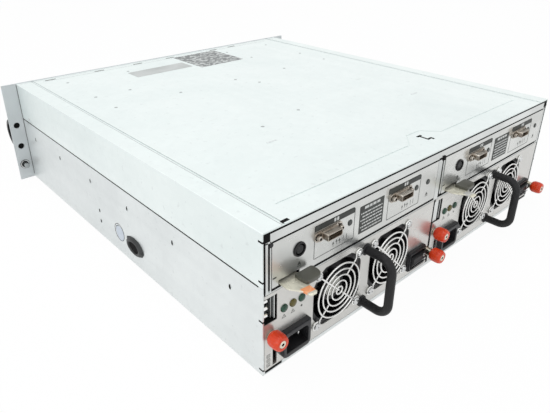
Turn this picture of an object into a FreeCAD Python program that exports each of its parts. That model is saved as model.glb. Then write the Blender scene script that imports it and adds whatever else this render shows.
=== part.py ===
"""Three-unit disk shelf enclosure: rack chassis, fifteen drive carriers, two I/O modules and
two power modules. Millimetres, +Z up, front (drive side) towards -Y, module side towards +Y."""
import FreeCAD, Part
import math
import os
from FreeCAD import Vector as V

os.makedirs("parts", exist_ok=True)

# ---- driving dimensions ----------------------------------------------------------------
BODY_W = 446.0          # chassis width
BODY_H = 130.0          # chassis height, three rack units less clearance
BODY_D = 479.0          # rear plane to the back of the ears
SHEET = 1.2             # chassis sheet thickness
SEAM_Z = 83.0           # top of the tray's outer side wall
SEAM_GAP = 1.0          # visible gap between tray and cover
LAP_H = 12.0            # how far the tray's inner lap rises behind the cover
FIT = 0.2               # sheet to sheet clearance
LIP_H = 3.5             # upturned lip at the tray's rear edge
MODULE_GAP = 0.4        # clearance round a sliding module

EAR_W = 18.3            # rack ear beyond the chassis side
EAR_T = 2.0             # ear and front frame plate
EAR_H = 130.5
EAR_HOLE_IN = 9.55      # rack hole beyond the chassis side, 465.1 apart in all
EAR_HOLES_Z = (47.0, 76.0)
EAR_HOLE_R = 4.0
EAR_SCREW_Z = 20.8
EAR_SCREW_R = 3.0
EAR_SCREW_L = 12.0
EAR_SCREW_HEAD_R = 5.6
EAR_SCREW_HEAD_L = 8.0
EAR_CAP_Z = (50.0, 86.0)
EAR_CAP_OUT = 15.0
EAR_CAP_W = 14.4
EAR_CAP_EDGE = 0.6      # ear's outer edge to the grip
EAR_CAP_T = 3.5

BAYS = 15
BAY_PITCH = 28.5
BAY_GAUGE = 0.8         # divider sheet
BAY_CLEAR = 0.4         # carrier to divider, each side
CAGE_BACK = 176.0       # cage depth behind the front frame
CAGE_PLATE = 1.0
CAGE_WINDOW = 36.0      # length of the openings in the dividers
CAGE_LO = 3.0
CAGE_HI = 126.6
CARRIER_BEZEL_T = 9.0
CARRIER_RAIL = 5.0      # height of a carrier's top and bottom rails
DRIVE_L = 147.0         # 3.5 inch drive
DRIVE_H = 101.6
DRIVE_T = 26.1
LATCH_T = 7.0
CONN_GAP = 1.0          # drive end to backplane socket

BOARD_T = 2.4
BOARD_GAP = 12.0        # cage back to midplane face
SOCKET_H = 40.0

MODULE_PITCH = 222.0    # left and right module columns
IO_X0 = 5.0             # inner edge of the first I/O module
IO_W = 209.0
IO_Z = (79.6, 118.4)
IO_DEPTH = 236.0
PW_X0 = 3.0             # inner edge of the first power module
PW_W = 218.4
PW_Z = (3.9, 75.9)
PW_DEPTH = 236.0
SHELF_Z = 77.2          # underside of the sheet between the module rows
TOP_BAR_Z = (119.2, 128.4)
COLUMN_X = (214.7, 220.2)
DIVIDER_X = (-2.0, 4.6)
FACE_T = 1.2            # module faceplate
CASE_T = 0.8            # module case sheet

FAN_X = (66.5, 137.0)   # fan centres from the power module's inner edge
FAN_Z = 41.5
FAN = 60.0
FAN_T = 25.0
FAN_SCREWS = 50.0
FAN_BORE = 28.6
FAN_TIP_GAP = 0.8
FAN_HUB_R = 12.0
FAN_SHAFT_R = 1.5
FAN_SHAFT_GAP = 0.05
FAN_BLADES = 7
FAN_CHORD = 17.0
FAN_PITCH = 42.0
FAN_BLADE_T = 1.6
FAN_OPENING = 58.0      # square opening in the faceplate
FAN_OPENING_R = 33.0    # its clipped corners
GUARD_WIRE = 1.6
GUARD_RINGS = (25.5, 20.0, 14.5, 9.0)
GUARD_SIDES = 18        # straight lengths in each bent ring
SCREW_R = 3.2
SCREW_H = 2.2

HANDLE_U = 101.9        # handle from the module's inner edge
HANDLE_Z = (10.0, 65.5)
HANDLE_OUT = 28.3
HANDLE_R = 4.0
HANDLE_BEND = 10.0
HANDLE_SIDES = 8        # flats round the bar

INLET_U = 187.5
INLET_Z = 21.1
INLET_W = 31.0
INLET_H = 25.8
INLET_OUT = 5.0
SOCKET_W = 24.0
SOCKET_HT = 16.6
SOCKET_DEEP = 15.0
BLADE_END = -1.0        # where the inlet's blades end, inside the socket

SWITCH_U = 22.0
SWITCH_Z = 20.6
SWITCH_W = 28.0
SWITCH_H = 21.4
SWITCH_OUT = 4.0
ROCKER_PIVOT_Y = -2.0
ROCKER_OUT = 4.0        # how far the rocker's ridge stands proud of its frame
ROCKER_GAP = 0.4
ROCKER_SWING = 1.0      # room above and below the rocker's ends

LED_U = (179.5, 189.0, 198.4)
LED_Z = 55.3
LED_R = 3.5
NOTCH_U = (205.7, 219.0)
NOTCH_Z = (49.0, 73.0)
NOTCH_DEEP = 9.0
SLOT_U = (205.7, 210.0)
SLOT_Z = (5.2, 26.0)
VENT_STEP = 16.0        # intake slots in the module's inner end

KNOB_R = 7.0
KNOB_NECK_R = 4.8
KNOB_L = 12.5
KNOB_FLUTES = 12
KNOB_TIP_R = 3.5
KNOB_SHANK_R = 2.5
KNOB_LEFT = (212.2, 37.0, 1.5)    # u, z and standoff of the outer thumbscrew
KNOB_RIGHT = (3.5, 21.0, 7.5)     # and of the inner one, on a longer collar
KNOB_FIT = 0.08

PORT_U = (57.5, 151.0)  # wide multi-lane sockets from the I/O module's inner edge
PORT_Z = 105.0
PORT_W = 17.6
PORT_H = 7.2
PORT_OUT = 6.5
PORT_WALL = 0.9
PORT_TONGUE = -1.0      # where the contact tongue ends
PORT_DEEP = 16.0        # shell behind the faceplate
PORT_MOUTH = 11.0       # its open depth
PORT_EAR = 4.0          # flange beyond the jack posts
PORT_EAR_H = 10.0
POST_PITCH = 31.0
POST_R = 2.4
CONSOLE_U = 181.7
CONSOLE_Z = 102.0
CONSOLE_R = 6.0
CONSOLE_DEEP = 14.0
LENS_U = (14.5, 32.7, 124.7)
LENS_Z = 101.8
LENS_R = 2.7
LENS_DEEP = 8.0
TAB_U = (182.2, 201.4)  # release tab's wide end
TAB_Z = 80.6
TAB_T = 1.4
TAB_OUT = 20.0
TAB_TIP = 8.0
TAB_TIP_U = (187.3, 194.3)
TAB_NOTCH_H = 4.5
TAB_ROOT = 12.0         # how far the tab starts behind the faceplate

PLUG_Y = -196.0         # moulded plug in the chassis side
PLUG_Z = 23.5
PLUG_OUT = 3.0
PLUG_BEVEL = 1.6
SIDE_HOLE = (-227.6, 25.5, 8.0)   # y, z and radius of the round side hole
RAIL_HOLES_Y = (-443.8, -366.2, -284.7, -203.0, -120.9, -38.5)
RAIL_HOLE_Z = 64.0
RAIL_HOLE_R = 1.6

# The origin is the middle of the whole part's footprint, so everything shifts by half of
# the difference between what stands out at the back and at the front.
BACK_MOST = HANDLE_OUT + HANDLE_R
FRONT_MOST = -(BODY_D + EAR_T + CARRIER_BEZEL_T + LATCH_T)
Y_SHIFT = -(BACK_MOST + FRONT_MOST) / 2

HALF = BODY_W / 2
EAR_SPAN = BODY_W + 2 * EAR_W           # overall width over the rack ears
EAR_HOLE_X = HALF + EAR_HOLE_IN


# ---- helpers -----------------------------------------------------------------------------
def box(x0, x1, y0, y1, z0, z1):
    a, b = min(x0, x1), max(x0, x1)
    return Part.makeBox(b - a, y1 - y0, z1 - z0, V(a, y0, z0))


def rod(x, y0, y1, z, r):
    return Part.makeCylinder(r, y1 - y0, V(x, y0, z), V(0, 1, 0))


def xrod(x0, x1, y, z, r):
    return Part.makeCylinder(r, x1 - x0, V(x0, y, z), V(1, 0, 0))


def prism(points, direction):
    wire = Part.makePolygon([V(*p) for p in points] + [V(*points[0])])
    return Part.Face(wire).extrude(V(*direction))


def turned(x, z, profile):
    """Solid of revolution about a line along Y through (x, z); profile is (r, y) points."""
    pts = [V(x + r, y, z) for r, y in profile]
    face = Part.Face(Part.makePolygon(pts + [pts[0]]))
    return face.revolve(V(x, 0, z), V(0, 1, 0), 360)


def ngon(x, z, y, r, n):
    """Corners of a regular n-sided outline that touches the circle of radius r from outside."""
    k = r / math.cos(math.pi / n)
    turn = 2 * math.pi / n
    return [(x + k * math.cos((i + 0.5) * turn), y, z + k * math.sin((i + 0.5) * turn))
            for i in range(n)]


def bar(x, y0, y1, z, r, n):
    return prism(ngon(x, z, y0, r, n), (0, y1 - y0, 0))


def tapered(x, z, n, stations):
    """Many-sided solid along Y through (y, radius) stations, all of its faces flat."""
    rings = [[V(*p) for p in ngon(x, z, y, r, n)] for y, r in stations]
    outlines = [rings[0], rings[-1]]
    for low, high in zip(rings, rings[1:]):
        for i in range(n):
            j = (i + 1) % n
            outlines.append([low[i], low[j], high[j], high[i]])
    faces = [Part.Face(Part.makePolygon(pts + [pts[0]])) for pts in outlines]
    solid = Part.Solid(Part.Shell(faces))
    if solid.Volume < 0:
        solid.reverse()
    return solid


def fuse(solids):
    first = solids[0]
    return first.multiFuse(solids[1:]).removeSplitter() if len(solids) > 1 else first


def rounded(shape, radius, axis="Y", pick=lambda p: True):
    """Round the straight edges that run along one axis."""
    ends = {"X": V(1, 0, 0), "Y": V(0, 1, 0), "Z": V(0, 0, 1)}
    edges = []
    for e in shape.Edges:
        if e.Curve.TypeId == "Part::GeomLine" and e.Length > 1e-6:
            d = (e.Vertexes[1].Point - e.Vertexes[0].Point).normalize()
            if abs(d.dot(ends[axis])) > 0.999 and pick(e.CenterOfMass):
                edges.append(e)
    return shape.makeFillet(radius, edges)


def save(name, solids):
    solids = solids if isinstance(solids, list) else [solids]
    shape = solids[0] if len(solids) == 1 else Part.makeCompound(solids)
    shape = shape.copy()
    shape.translate(V(0, Y_SHIFT, 0))
    shape.exportStep("parts/%s.step" % name)


# ---- chassis -----------------------------------------------------------------------------
def side_profile(sign):
    """Section of one tray side: wall, joggle inwards at the seam and lap behind the cover."""
    t, step = SHEET, SHEET + FIT
    pts = [(HALF, 0), (HALF, SEAM_Z), (HALF - step, SEAM_Z + SEAM_GAP),
           (HALF - step, SEAM_Z + LAP_H), (HALF - step - t, SEAM_Z + LAP_H),
           (HALF - step - t, SEAM_Z + SEAM_GAP * 0.4), (HALF - t, SEAM_Z - SEAM_GAP), (HALF - t, 0)]
    return prism([(sign * x, -BODY_D, z) for x, z in pts], (0, BODY_D, 0))


def plug_outline(x, grow):
    w, h = 18.0 + grow, 11.0 + grow
    shape = [(-w, 0.55 * h), (-w, -0.6 * h), (-0.6 * w, -h), (0.35 * w, -h),
             (w, -0.45 * h), (w, 0.35 * h), (0.2 * w, h), (-0.45 * w, h)]
    return [(x, PLUG_Y + a, PLUG_Z + b) for a, b in shape]


def chassis_tray():
    solids = [box(-HALF, HALF, -BODY_D, 0, 0, SHEET), side_profile(1), side_profile(-1),
              box(-HALF + SHEET / 2, HALF - SHEET / 2, -SHEET, 0, SHEET / 2, LIP_H)]
    tray = fuse(solids)
    cuts = []
    for y in RAIL_HOLES_Y:
        hole = [(-HALF - 1, y + b, RAIL_HOLE_Z + a) for a, _, b in ngon(0, 0, 0, RAIL_HOLE_R, 8)]
        cuts.append(prism(hole, (BODY_W + 2, 0, 0)))
    y, z, r = SIDE_HOLE
    cuts.append(xrod(HALF - 2 * SHEET, HALF + 1, y, z, r))
    cuts.append(prism(plug_outline(HALF - 2 * SHEET, -2.0), (3 * SHEET, 0, 0)))
    return tray.cut(cuts)


def side_plug():
    """Moulded plug that closes the slot in the chassis side: seat inside the wall, bevelled
    head outside."""
    seat = prism(plug_outline(HALF - SHEET, -2.0 - FIT), (SHEET, 0, 0))
    head = prism(plug_outline(HALF, 0), (PLUG_OUT, 0, 0))
    rim = [e for e in head.Edges if all(v.X > HALF + PLUG_OUT - 1e-6 for v in e.Vertexes)]
    return fuse([seat, head.makeChamfer(PLUG_BEVEL, rim)])


CREASE_IN = 18.5        # cover's edge band, from the side
CREASE_W = 2.6
CREASE_DEEP = 0.5
EMBOSS_Y = -25.0
EMBOSS_W = 1.4


def top_cover():
    low = SEAM_Z + SEAM_GAP
    top = BODY_H
    cover = fuse([box(-HALF, HALF, -BODY_D, 0, top - SHEET, top),
                  box(HALF - SHEET, HALF, -BODY_D, 0, low, top),
                  box(-HALF, -HALF + SHEET, -BODY_D, 0, low, top)])
    cover = rounded(cover, 0.8, "Y", lambda p: p.z > top - 0.1)
    grooves = []
    for s in (-1, 1):
        a, b = s * (HALF - CREASE_IN), s * (HALF - CREASE_IN - CREASE_W)
        grooves.append(box(a, b, -BODY_D - 1, 1, top - CREASE_DEEP, top + 1))
    y, w = EMBOSS_Y, EMBOSS_W / 2
    span = HALF - CREASE_IN - CREASE_W - 14
    route = [(-span, y), (-36, y), (-21, y - 16), (0, y - 16), (19, y), (span, y)]
    back = [(a, b - w) for a, b in reversed(route)]
    line = [(a, b + w) for a, b in route] + back
    grooves.append(prism([(a, b, top - CREASE_DEEP) for a, b in line], (0, 0, 1)))
    return cover.cut(grooves)


def rear_frame():
    """Welded frame of the module side: top bar, side columns, middle post, the sheet between
    the two module rows and the partitions behind the posts."""
    t = SHEET
    z0, z1 = TOP_BAR_Z
    inner = HALF - SHEET - FIT
    lap = HALF - 2 * (SHEET + FIT)
    deep = max(IO_DEPTH, PW_DEPTH) + 16
    col0, col1 = COLUMN_X
    shelf_lip = (PW_Z[1] + MODULE_GAP, IO_Z[0] - MODULE_GAP)
    right = -(MODULE_PITCH - IO_X0) - MODULE_GAP
    x_mid = PW_X0 - FIT - t
    solids = [box(-inner, inner, -t, 0, z0, z1),
              box(-inner, inner, -14, -t / 2, z1 - t, z1),
              box(-inner, inner, -14, -t / 2, z0, z0 + t),
              box(-lap, lap, -deep, -t / 2, SHELF_Z, SHELF_Z + t),
              box(-lap, lap, -t, 0, shelf_lip[0], shelf_lip[1]),
              box(col0, col1, -t, 0, shelf_lip[0], z0 + t),
              box(right, -col1, -t, 0, shelf_lip[0], z0 + t),
              box(DIVIDER_X[0], DIVIDER_X[1], -t, 0, shelf_lip[0], z0 + t),
              box(x_mid - t, x_mid, -deep, -t / 2, LIP_H + FIT, SHELF_Z + t / 2),
              box(x_mid - t, x_mid, -deep, -t / 2, SHELF_Z + t / 2, z1 - t / 2)]
    return fuse(solids)


def front_frame():
    """Front plate with both rack ears and the window for the drive bays."""
    e = EAR_SPAN / 2
    y0, y1 = -BODY_D - EAR_T, -BODY_D
    plate = box(-e, e, y0, y1, 0, EAR_H)
    half_window = BAYS * BAY_PITCH / 2 + 0.4
    window = box(-half_window, half_window, y0 - 1, y1 + 1, 4.0, 125.8)
    cuts = [window]
    for s in (-1, 1):
        for z in EAR_HOLES_Z:
            cuts.append(rod(s * EAR_HOLE_X, y0 - 1, y1 + 1, z, EAR_HOLE_R))
        cuts.append(rod(s * EAR_HOLE_X, y0 - 1, y1 + 1, EAR_SCREW_Z, EAR_SCREW_R + 0.4))
    return plate.cut(cuts)


def ear_caps():
    """Moulded grip on the front of each ear: an arched bar on two feet."""
    caps = []
    y = -BODY_D - EAR_T
    lo, hi = EAR_CAP_Z
    for s in (-1, 1):
        x0 = s * (EAR_SPAN / 2 - EAR_CAP_EDGE)
        t, mid = EAR_CAP_T, (lo + hi) / 2
        outer = [V(x0, y, lo), V(x0, y - EAR_CAP_OUT, mid), V(x0, y, hi)]
        inner = [V(x0, y, lo + t), V(x0, y - EAR_CAP_OUT + t, mid), V(x0, y, hi - t)]
        edges = [Part.Arc(*outer).toShape(), Part.makeLine(outer[2], inner[2]),
                 Part.Arc(*inner).toShape(), Part.makeLine(inner[0], outer[0])]
        face = Part.Face(Part.Wire(Part.__sortEdges__(edges)))
        caps.append(face.extrude(V(-s * EAR_CAP_W, 0, 0)))
    return caps


def ear_screws():
    screws = []
    y = -BODY_D - EAR_T
    for s in (-1, 1):
        x = s * EAR_HOLE_X
        r, n, top = EAR_SCREW_HEAD_R, EAR_SCREW_L, EAR_SCREW_HEAD_L
        shank = turned(x, EAR_SCREW_Z, [(0, y + n), (EAR_SCREW_R, y + n - 1), (EAR_SCREW_R, y - 1),
                                        (0, y - 1)])
        head = tapered(x, EAR_SCREW_Z, 16, [(y, r), (y - top + 1, r), (y - top, r - 1)])
        screws.append(fuse([shank, head]))
    return screws


def drive_cage():
    """Guide cage: a windowed divider between each pair of bays and a plate above and below."""
    half = BAYS * BAY_PITCH / 2
    y0, y1 = -BODY_D, -BODY_D + CAGE_BACK
    g, t = BAY_GAUGE, CAGE_PLATE
    plates = [box(-half - g / 2, half + g / 2, y0, y1, CAGE_LO, CAGE_LO + t),
              box(-half - g / 2, half + g / 2, y0, y1, CAGE_HI - t, CAGE_HI)]
    for i in range(BAYS + 1):
        x = -half + i * BAY_PITCH
        divider = box(x - g / 2, x + g / 2, y0, y1, CAGE_LO + t, CAGE_HI - t)
        windows = []
        for y in (y0 + CAGE_BACK / 3, y0 + CAGE_BACK * 2 / 3):
            windows.append(box(x - g, x + g, y - CAGE_WINDOW / 2, y + CAGE_WINDOW / 2, 45, 85))
        plates.append(divider.cut(windows))
    return plates


def bay_x(i):
    return -BAYS * BAY_PITCH / 2 + (i + 0.5) * BAY_PITCH


def drive_carrier(i):
    """One drive carrier: frame with bezel and rails, the drive in it, and the latch bar."""
    x = bay_x(i)
    w = BAY_PITCH / 2 - BAY_GAUGE / 2 - BAY_CLEAR
    face = -BODY_D - EAR_T
    lo, hi = CAGE_LO + 1 + BAY_CLEAR + 0.6, CAGE_HI - 1 - BAY_CLEAR - 0.6
    mid = (lo + hi) / 2
    front = face - CARRIER_BEZEL_T
    outline = [(x - w, face + 1), (x - w, front + 1.6), (x - w + 1.6, front), (x + w - 1.6, front),
               (x + w, front + 1.6), (x + w, face + 1)]
    bezel = prism([(a, b, lo) for a, b in outline], (0, 0, hi - lo))
    vents = [box(x + 3, x + 10, front - 1, face + 2, mid + dz - 9, mid + dz + 9) for dz in (-22, 0, 22)]
    bezel = bezel.cut(vents)
    back = face + 1 + DRIVE_L + 4
    rails = [box(x - w, x + w, face, back, lo, lo + CARRIER_RAIL),
             box(x - w, x + w, face, back, hi - CARRIER_RAIL, hi)]
    frame = fuse([bezel] + rails)
    drive = box(x - DRIVE_T / 2, x + DRIVE_T / 2, face + 1 + FIT, face + 1 + FIT + DRIVE_L,
                mid - DRIVE_H / 2, mid + DRIVE_H / 2)
    y = face - CARRIER_BEZEL_T
    pts = [(y, mid - 48), (y - LATCH_T, mid - 44), (y - LATCH_T, mid + 40), (y, mid + 48),
           (y, mid + 41), (y - LATCH_T + 3, mid + 35), (y - LATCH_T + 3, mid - 37), (y, mid - 41)]
    latch = prism([(x - 9, a, b) for a, b in pts], (10, 0, 0))
    return [frame, drive, latch]


def midplane_board():
    """Board across the chassis with drive sockets in front and module sockets behind."""
    y0 = -BODY_D + CAGE_BACK + BOARD_GAP
    y1 = y0 + BOARD_T
    half = BAYS * BAY_PITCH / 2
    board = box(-half, half, y0, y1, LIP_H, CAGE_HI)
    mid = (CAGE_LO + CAGE_HI) / 2
    drive_end = -BODY_D - EAR_T + 1 + FIT + DRIVE_L
    cuts, sockets = [], []
    for i in range(BAYS):
        x = bay_x(i)
        if i % 3 == 1:
            reach = 1.2 * BAY_PITCH
            cuts.append(box(x - reach, x + reach, y0 - 1, y1 + 1, mid + 24, mid + 50))
            cuts.append(box(x - reach, x + reach, y0 - 1, y1 + 1, mid - 54, mid - 30))
        sockets.append(box(x - 4, x + 4, drive_end + CONN_GAP, y0, mid - SOCKET_H / 2,
                           mid + SOCKET_H / 2))
    io_end, pw_end = -IO_DEPTH - CONN_GAP, -PW_DEPTH - CONN_GAP
    for k in (0, 1):
        shift = -k * MODULE_PITCH
        xc = IO_X0 + IO_W / 2 + shift
        sockets.append(box(xc - 45, xc + 45, y1, io_end, IO_Z[0] + 8, IO_Z[0] + 18))
        sockets.append(box(xc - 25, xc + 25, y1, pw_end, PW_Z[0] + 24, PW_Z[0] + 36))
    return [board.cut(cuts)] + sockets


# ---- I/O modules --------------------------------------------------------------------------
def io_case(x0):
    z0, z1 = IO_Z
    c = CASE_T
    a, b = x0 + 1.5, x0 + IO_W - 1.5
    floor = z0 + 2.6
    face = box(x0, x0 + IO_W, -FACE_T, 0, z0, z1)
    tray = [box(a, b, -IO_DEPTH, -FACE_T / 2, floor, floor + c),
            box(a, a + c, -IO_DEPTH, -FACE_T / 2, floor, z1 - 2),
            box(b - c, b, -IO_DEPTH, -FACE_T / 2, floor, z1 - 2),
            box(a, b, -IO_DEPTH, -IO_DEPTH + c, floor, z1 - 14)]
    case = fuse([face] + tray)
    cuts = [rod(x0 + CONSOLE_U, -FACE_T - 1, 1, CONSOLE_Z, CONSOLE_R + FIT)]
    for u in LENS_U:
        cuts.append(bar(x0 + u, -FACE_T - 1, 1, LENS_Z, LENS_R + FIT / 2, 16))
    for u in PORT_U:
        w, h = PORT_W / 2 + FIT, PORT_H / 2 + FIT
        cuts.append(box(x0 + u - w, x0 + u + w, -FACE_T - 1, 1, PORT_Z - h, PORT_Z + h))
    cuts.append(box(x0 + TAB_U[0] - 1.2, x0 + TAB_U[1] + 1.2, -TAB_ROOT - 2, 1, z0 - 1,
                    z0 + TAB_NOTCH_H))
    return case.cut(cuts)


def io_board(x0):
    z = IO_Z[0] + 2.6 + CASE_T + 6
    a, b = x0 + 6, x0 + IO_W - 6
    board = box(a, b, -IO_DEPTH + 3, -18, z, z + 1.6)
    parts = [board,
             box(a + 40, a + 80, -120, -80, z + 1, z + 6),
             box(a + 110, a + 135, -110, -85, z + 1, z + 5),
             box(x0 + IO_W / 2 - 44, x0 + IO_W / 2 + 44, -IO_DEPTH + 3, -IO_DEPTH + 12, z + 1, z + 8)]
    for i in range(6):
        parts.append(box(a + 42 + i * 6, a + 44 + i * 6, -120, -80, z + 5, z + 13))
    return fuse(parts)


def io_ports(x0):
    """Wide shielded sockets: thin shell through the faceplate, jack posts at both sides."""
    ports = []
    for u in PORT_U:
        x = x0 + u
        w, h, t = PORT_W / 2, PORT_H / 2, PORT_WALL
        shell = box(x - w, x + w, -PORT_DEEP, PORT_OUT, PORT_Z - h, PORT_Z + h)
        mouth = box(x - w + t, x + w - t, -PORT_MOUTH, PORT_OUT + 1, PORT_Z - h + t, PORT_Z + h - t)
        tongue = box(x - w + 3, x + w - 3, -PORT_MOUTH - 1, PORT_TONGUE, PORT_Z - 0.7, PORT_Z + 0.7)
        p, e, f = POST_PITCH / 2, PORT_EAR, PORT_EAR_H / 2
        ears = [(-p - e, 3 - f), (-p + 3 - e, -f), (p + e - 3, -f), (p + e, 3 - f), (p + e, f - 3),
                (p + e - 3, f), (-p + 3 - e, f), (-p - e, f - 3)]
        flange = prism([(x + a, 0, PORT_Z + b) for a, b in ears], (0, 1.0, 0))
        body = [shell, flange]
        for s in (-1, 1):
            body.append(bar(x + s * p, 0.5, PORT_OUT - 1.0, PORT_Z, POST_R, 6))
        socket = fuse(body).cut(mouth)
        for s in (-1, 1):
            socket = socket.cut(rod(x + s * p, 1.5, PORT_OUT + 1, PORT_Z, POST_R - 1.1))
        ports.append(fuse([socket, tongue]))
    return ports


def io_console(x0):
    x = x0 + CONSOLE_U
    profile = [(0, -CONSOLE_DEEP), (CONSOLE_R, -CONSOLE_DEEP), (CONSOLE_R, 1.4),
               (CONSOLE_R - 1.3, 1.4), (CONSOLE_R - 1.3, -CONSOLE_DEEP / 2), (0, -CONSOLE_DEEP / 2)]
    return turned(x, CONSOLE_Z, profile)


def io_lenses(x0):
    lenses = []
    for u in LENS_U:
        lenses.append(tapered(x0 + u, LENS_Z, 16, [(-LENS_DEEP, LENS_R), (0.3, LENS_R),
                                                   (0.9, LENS_R * 0.7)]))
    return lenses


def io_tab(x0):
    """Sprung release tab: wide plate out of the notch, tapering to a touch pad."""
    z = TAB_Z - TAB_T / 2
    a, b = x0 + TAB_U[0], x0 + TAB_U[1]
    c, d = x0 + TAB_TIP_U[0], x0 + TAB_TIP_U[1]
    outline = [(a, -TAB_ROOT), (b, -TAB_ROOT), (b + 0.6, TAB_OUT * 0.42), (d, TAB_OUT), (d, TAB_OUT + 3),
               (c, TAB_OUT + 3), (c - 0.5, TAB_OUT - 1), (a, 2.0)]
    plate = prism([(p, q, z) for p, q in outline], (0, 0, TAB_T))
    pad = box(c - 0.6, d + 0.6, TAB_OUT, TAB_OUT + TAB_TIP, z - 0.8, z + TAB_T + 0.8)
    pad = pad.makeChamfer(1.2, [e for e in pad.Edges if abs(e.Length - TAB_T - 1.6) < 1e-6])
    return fuse([plate, pad])


# ---- power modules ------------------------------------------------------------------------
def fan_window(x):
    h = FAN_OPENING / 2
    square = box(x - h, x + h, -FACE_T - 1, 1, FAN_Z - h, FAN_Z + h)
    return square.common(rod(x, -FACE_T - 1, 1, FAN_Z, FAN_OPENING_R))


def pw_case(x0):
    """Faceplate with the recess for the spring contacts, sheet tray and flat lid."""
    z0, z1 = PW_Z
    c = CASE_T
    a, b = x0 + 1.0, x0 + PW_W - 1.0
    lo, hi = z0 + 0.6, NOTCH_Z[1] + 2 * c + 0.1
    n0, n1 = NOTCH_U
    face = fuse([box(x0, x0 + PW_W, -FACE_T, 0, z0, z1),
                 box(x0 + n0 - c, b - c, -NOTCH_DEEP - c, -FACE_T / 2, NOTCH_Z[0] - c, NOTCH_Z[1] + c)])
    notch = box(x0 + n0, x0 + n1, -NOTCH_DEEP, 1, NOTCH_Z[0], NOTCH_Z[1])
    tray = box(a, b, -PW_DEPTH, -FACE_T, lo, hi - c)
    bores = [rod(x0 + u, -30, 1, z, KNOB_SHANK_R + KNOB_FIT) for u, z, _ in (KNOB_LEFT, KNOB_RIGHT)]
    tray = tray.cut([box(a + c, b - c, -PW_DEPTH + c, 0, lo + c, hi), notch] + bores)
    lid = box(a, b, -PW_DEPTH, -FACE_T, hi - c, hi)
    cuts = [fan_window(x0 + u) for u in FAN_X]
    cuts.append(notch)
    cuts.append(box(x0 + SLOT_U[0], x0 + SLOT_U[1], -FACE_T - 1, 1, SLOT_Z[0], SLOT_Z[1]))
    w, h = INLET_W / 2 - 2.0, INLET_H / 2 - 2.0
    cuts.append(box(x0 + INLET_U - w, x0 + INLET_U + w, -FACE_T - 1, 1, INLET_Z - h, INLET_Z + h))
    w, h = SWITCH_W / 2 - 1.5, SWITCH_H / 2 - 1.5
    cuts.append(box(x0 + SWITCH_U - w, x0 + SWITCH_U + w, -FACE_T - 1, 1, SWITCH_Z - h, SWITCH_Z + h))
    for u in LED_U:
        cuts.append(bar(x0 + u, -FACE_T - 1, 1, LED_Z, LED_R - 1.0 + FIT / 2, 10))
    cuts.extend(bores)
    n = int((PW_W - 24) / VENT_STEP)
    vents = []
    for i in range(n):
        x = x0 + PW_W / 2 + (i - (n - 1) / 2) * VENT_STEP
        w = VENT_STEP * 0.35
        vents.append(box(x - w, x + w, -PW_DEPTH - 1, -PW_DEPTH + c + 1, z1 - 24, z1 - 8))
    return [face.cut(cuts), tray.cut(vents), lid]


def pw_fan_frames(x0):
    """Fan frames: square body with the bore, motor seat on three struts and the fixed pin."""
    frames = []
    y1 = -FACE_T
    y0 = y1 - FAN_T
    for u in FAN_X:
        x = x0 + u
        h = FAN / 2
        block = box(x - h, x + h, y0, y1, FAN_Z - h, FAN_Z + h)
        block = block.makeChamfer(3.0, [e for e in block.Edges if abs(e.Length - FAN_T) < 1e-6])
        body = block.cut(bar(x, y0 - 1, y1 + 1, FAN_Z, FAN_BORE, 28))
        struts = []
        for k in range(3):
            strut = box(x, x + FAN_BORE + 0.6, y0, y0 + 2.4, FAN_Z - 1.6, FAN_Z + 1.6)
            strut.rotate(V(x, 0, FAN_Z), V(0, 1, 0), 30 + 120 * k)
            struts.append(strut)
        seat = bar(x, y0, y0 + 2.4, FAN_Z, FAN_HUB_R, 14)
        pin = rod(x, y0, y1 - 6, FAN_Z, FAN_SHAFT_R)
        frames.append(fuse([body, seat, pin] + struts))
    return frames


def pw_rotor(x):
    """Fan rotor: hub cup with a running bore and pitched blades."""
    y0, y1 = -FACE_T - FAN_T + 3.4, -FACE_T - 4.0
    bore = FAN_SHAFT_R + FAN_SHAFT_GAP
    root = FAN_HUB_R - 0.4
    hub = tapered(x, FAN_Z, 2 * FAN_BLADES, [(y0, root), (y1 - 1.5, root), (y1, root - 1.6)])
    hub = hub.cut(rod(x, y0 - 1, y1 + 1, FAN_Z, bore))
    tip = FAN_BORE - FAN_TIP_GAP
    ym = (y0 + y1) / 2
    solids = [hub]
    chord, t = FAN_CHORD / 2, FAN_BLADE_T
    dy = chord * math.sin(math.radians(FAN_PITCH))
    dx = chord * math.cos(math.radians(FAN_PITCH))
    reach = math.sqrt(tip ** 2 - dx ** 2)
    inner = math.sqrt(max(root ** 2 - dx ** 2, 1.0)) - 0.5
    for k in range(FAN_BLADES):
        pts = [(-dx, -dy), (-dx, -dy + t), (dx, dy), (dx, dy - t)]
        blade = prism([(x + a, ym + b, FAN_Z + inner) for a, b in pts], (0, 0, reach - inner))
        blade.rotate(V(x, 0, FAN_Z), V(0, 1, 0), k * 360.0 / FAN_BLADES)
        solids.append(blade)
    return fuse(solids)


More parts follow.
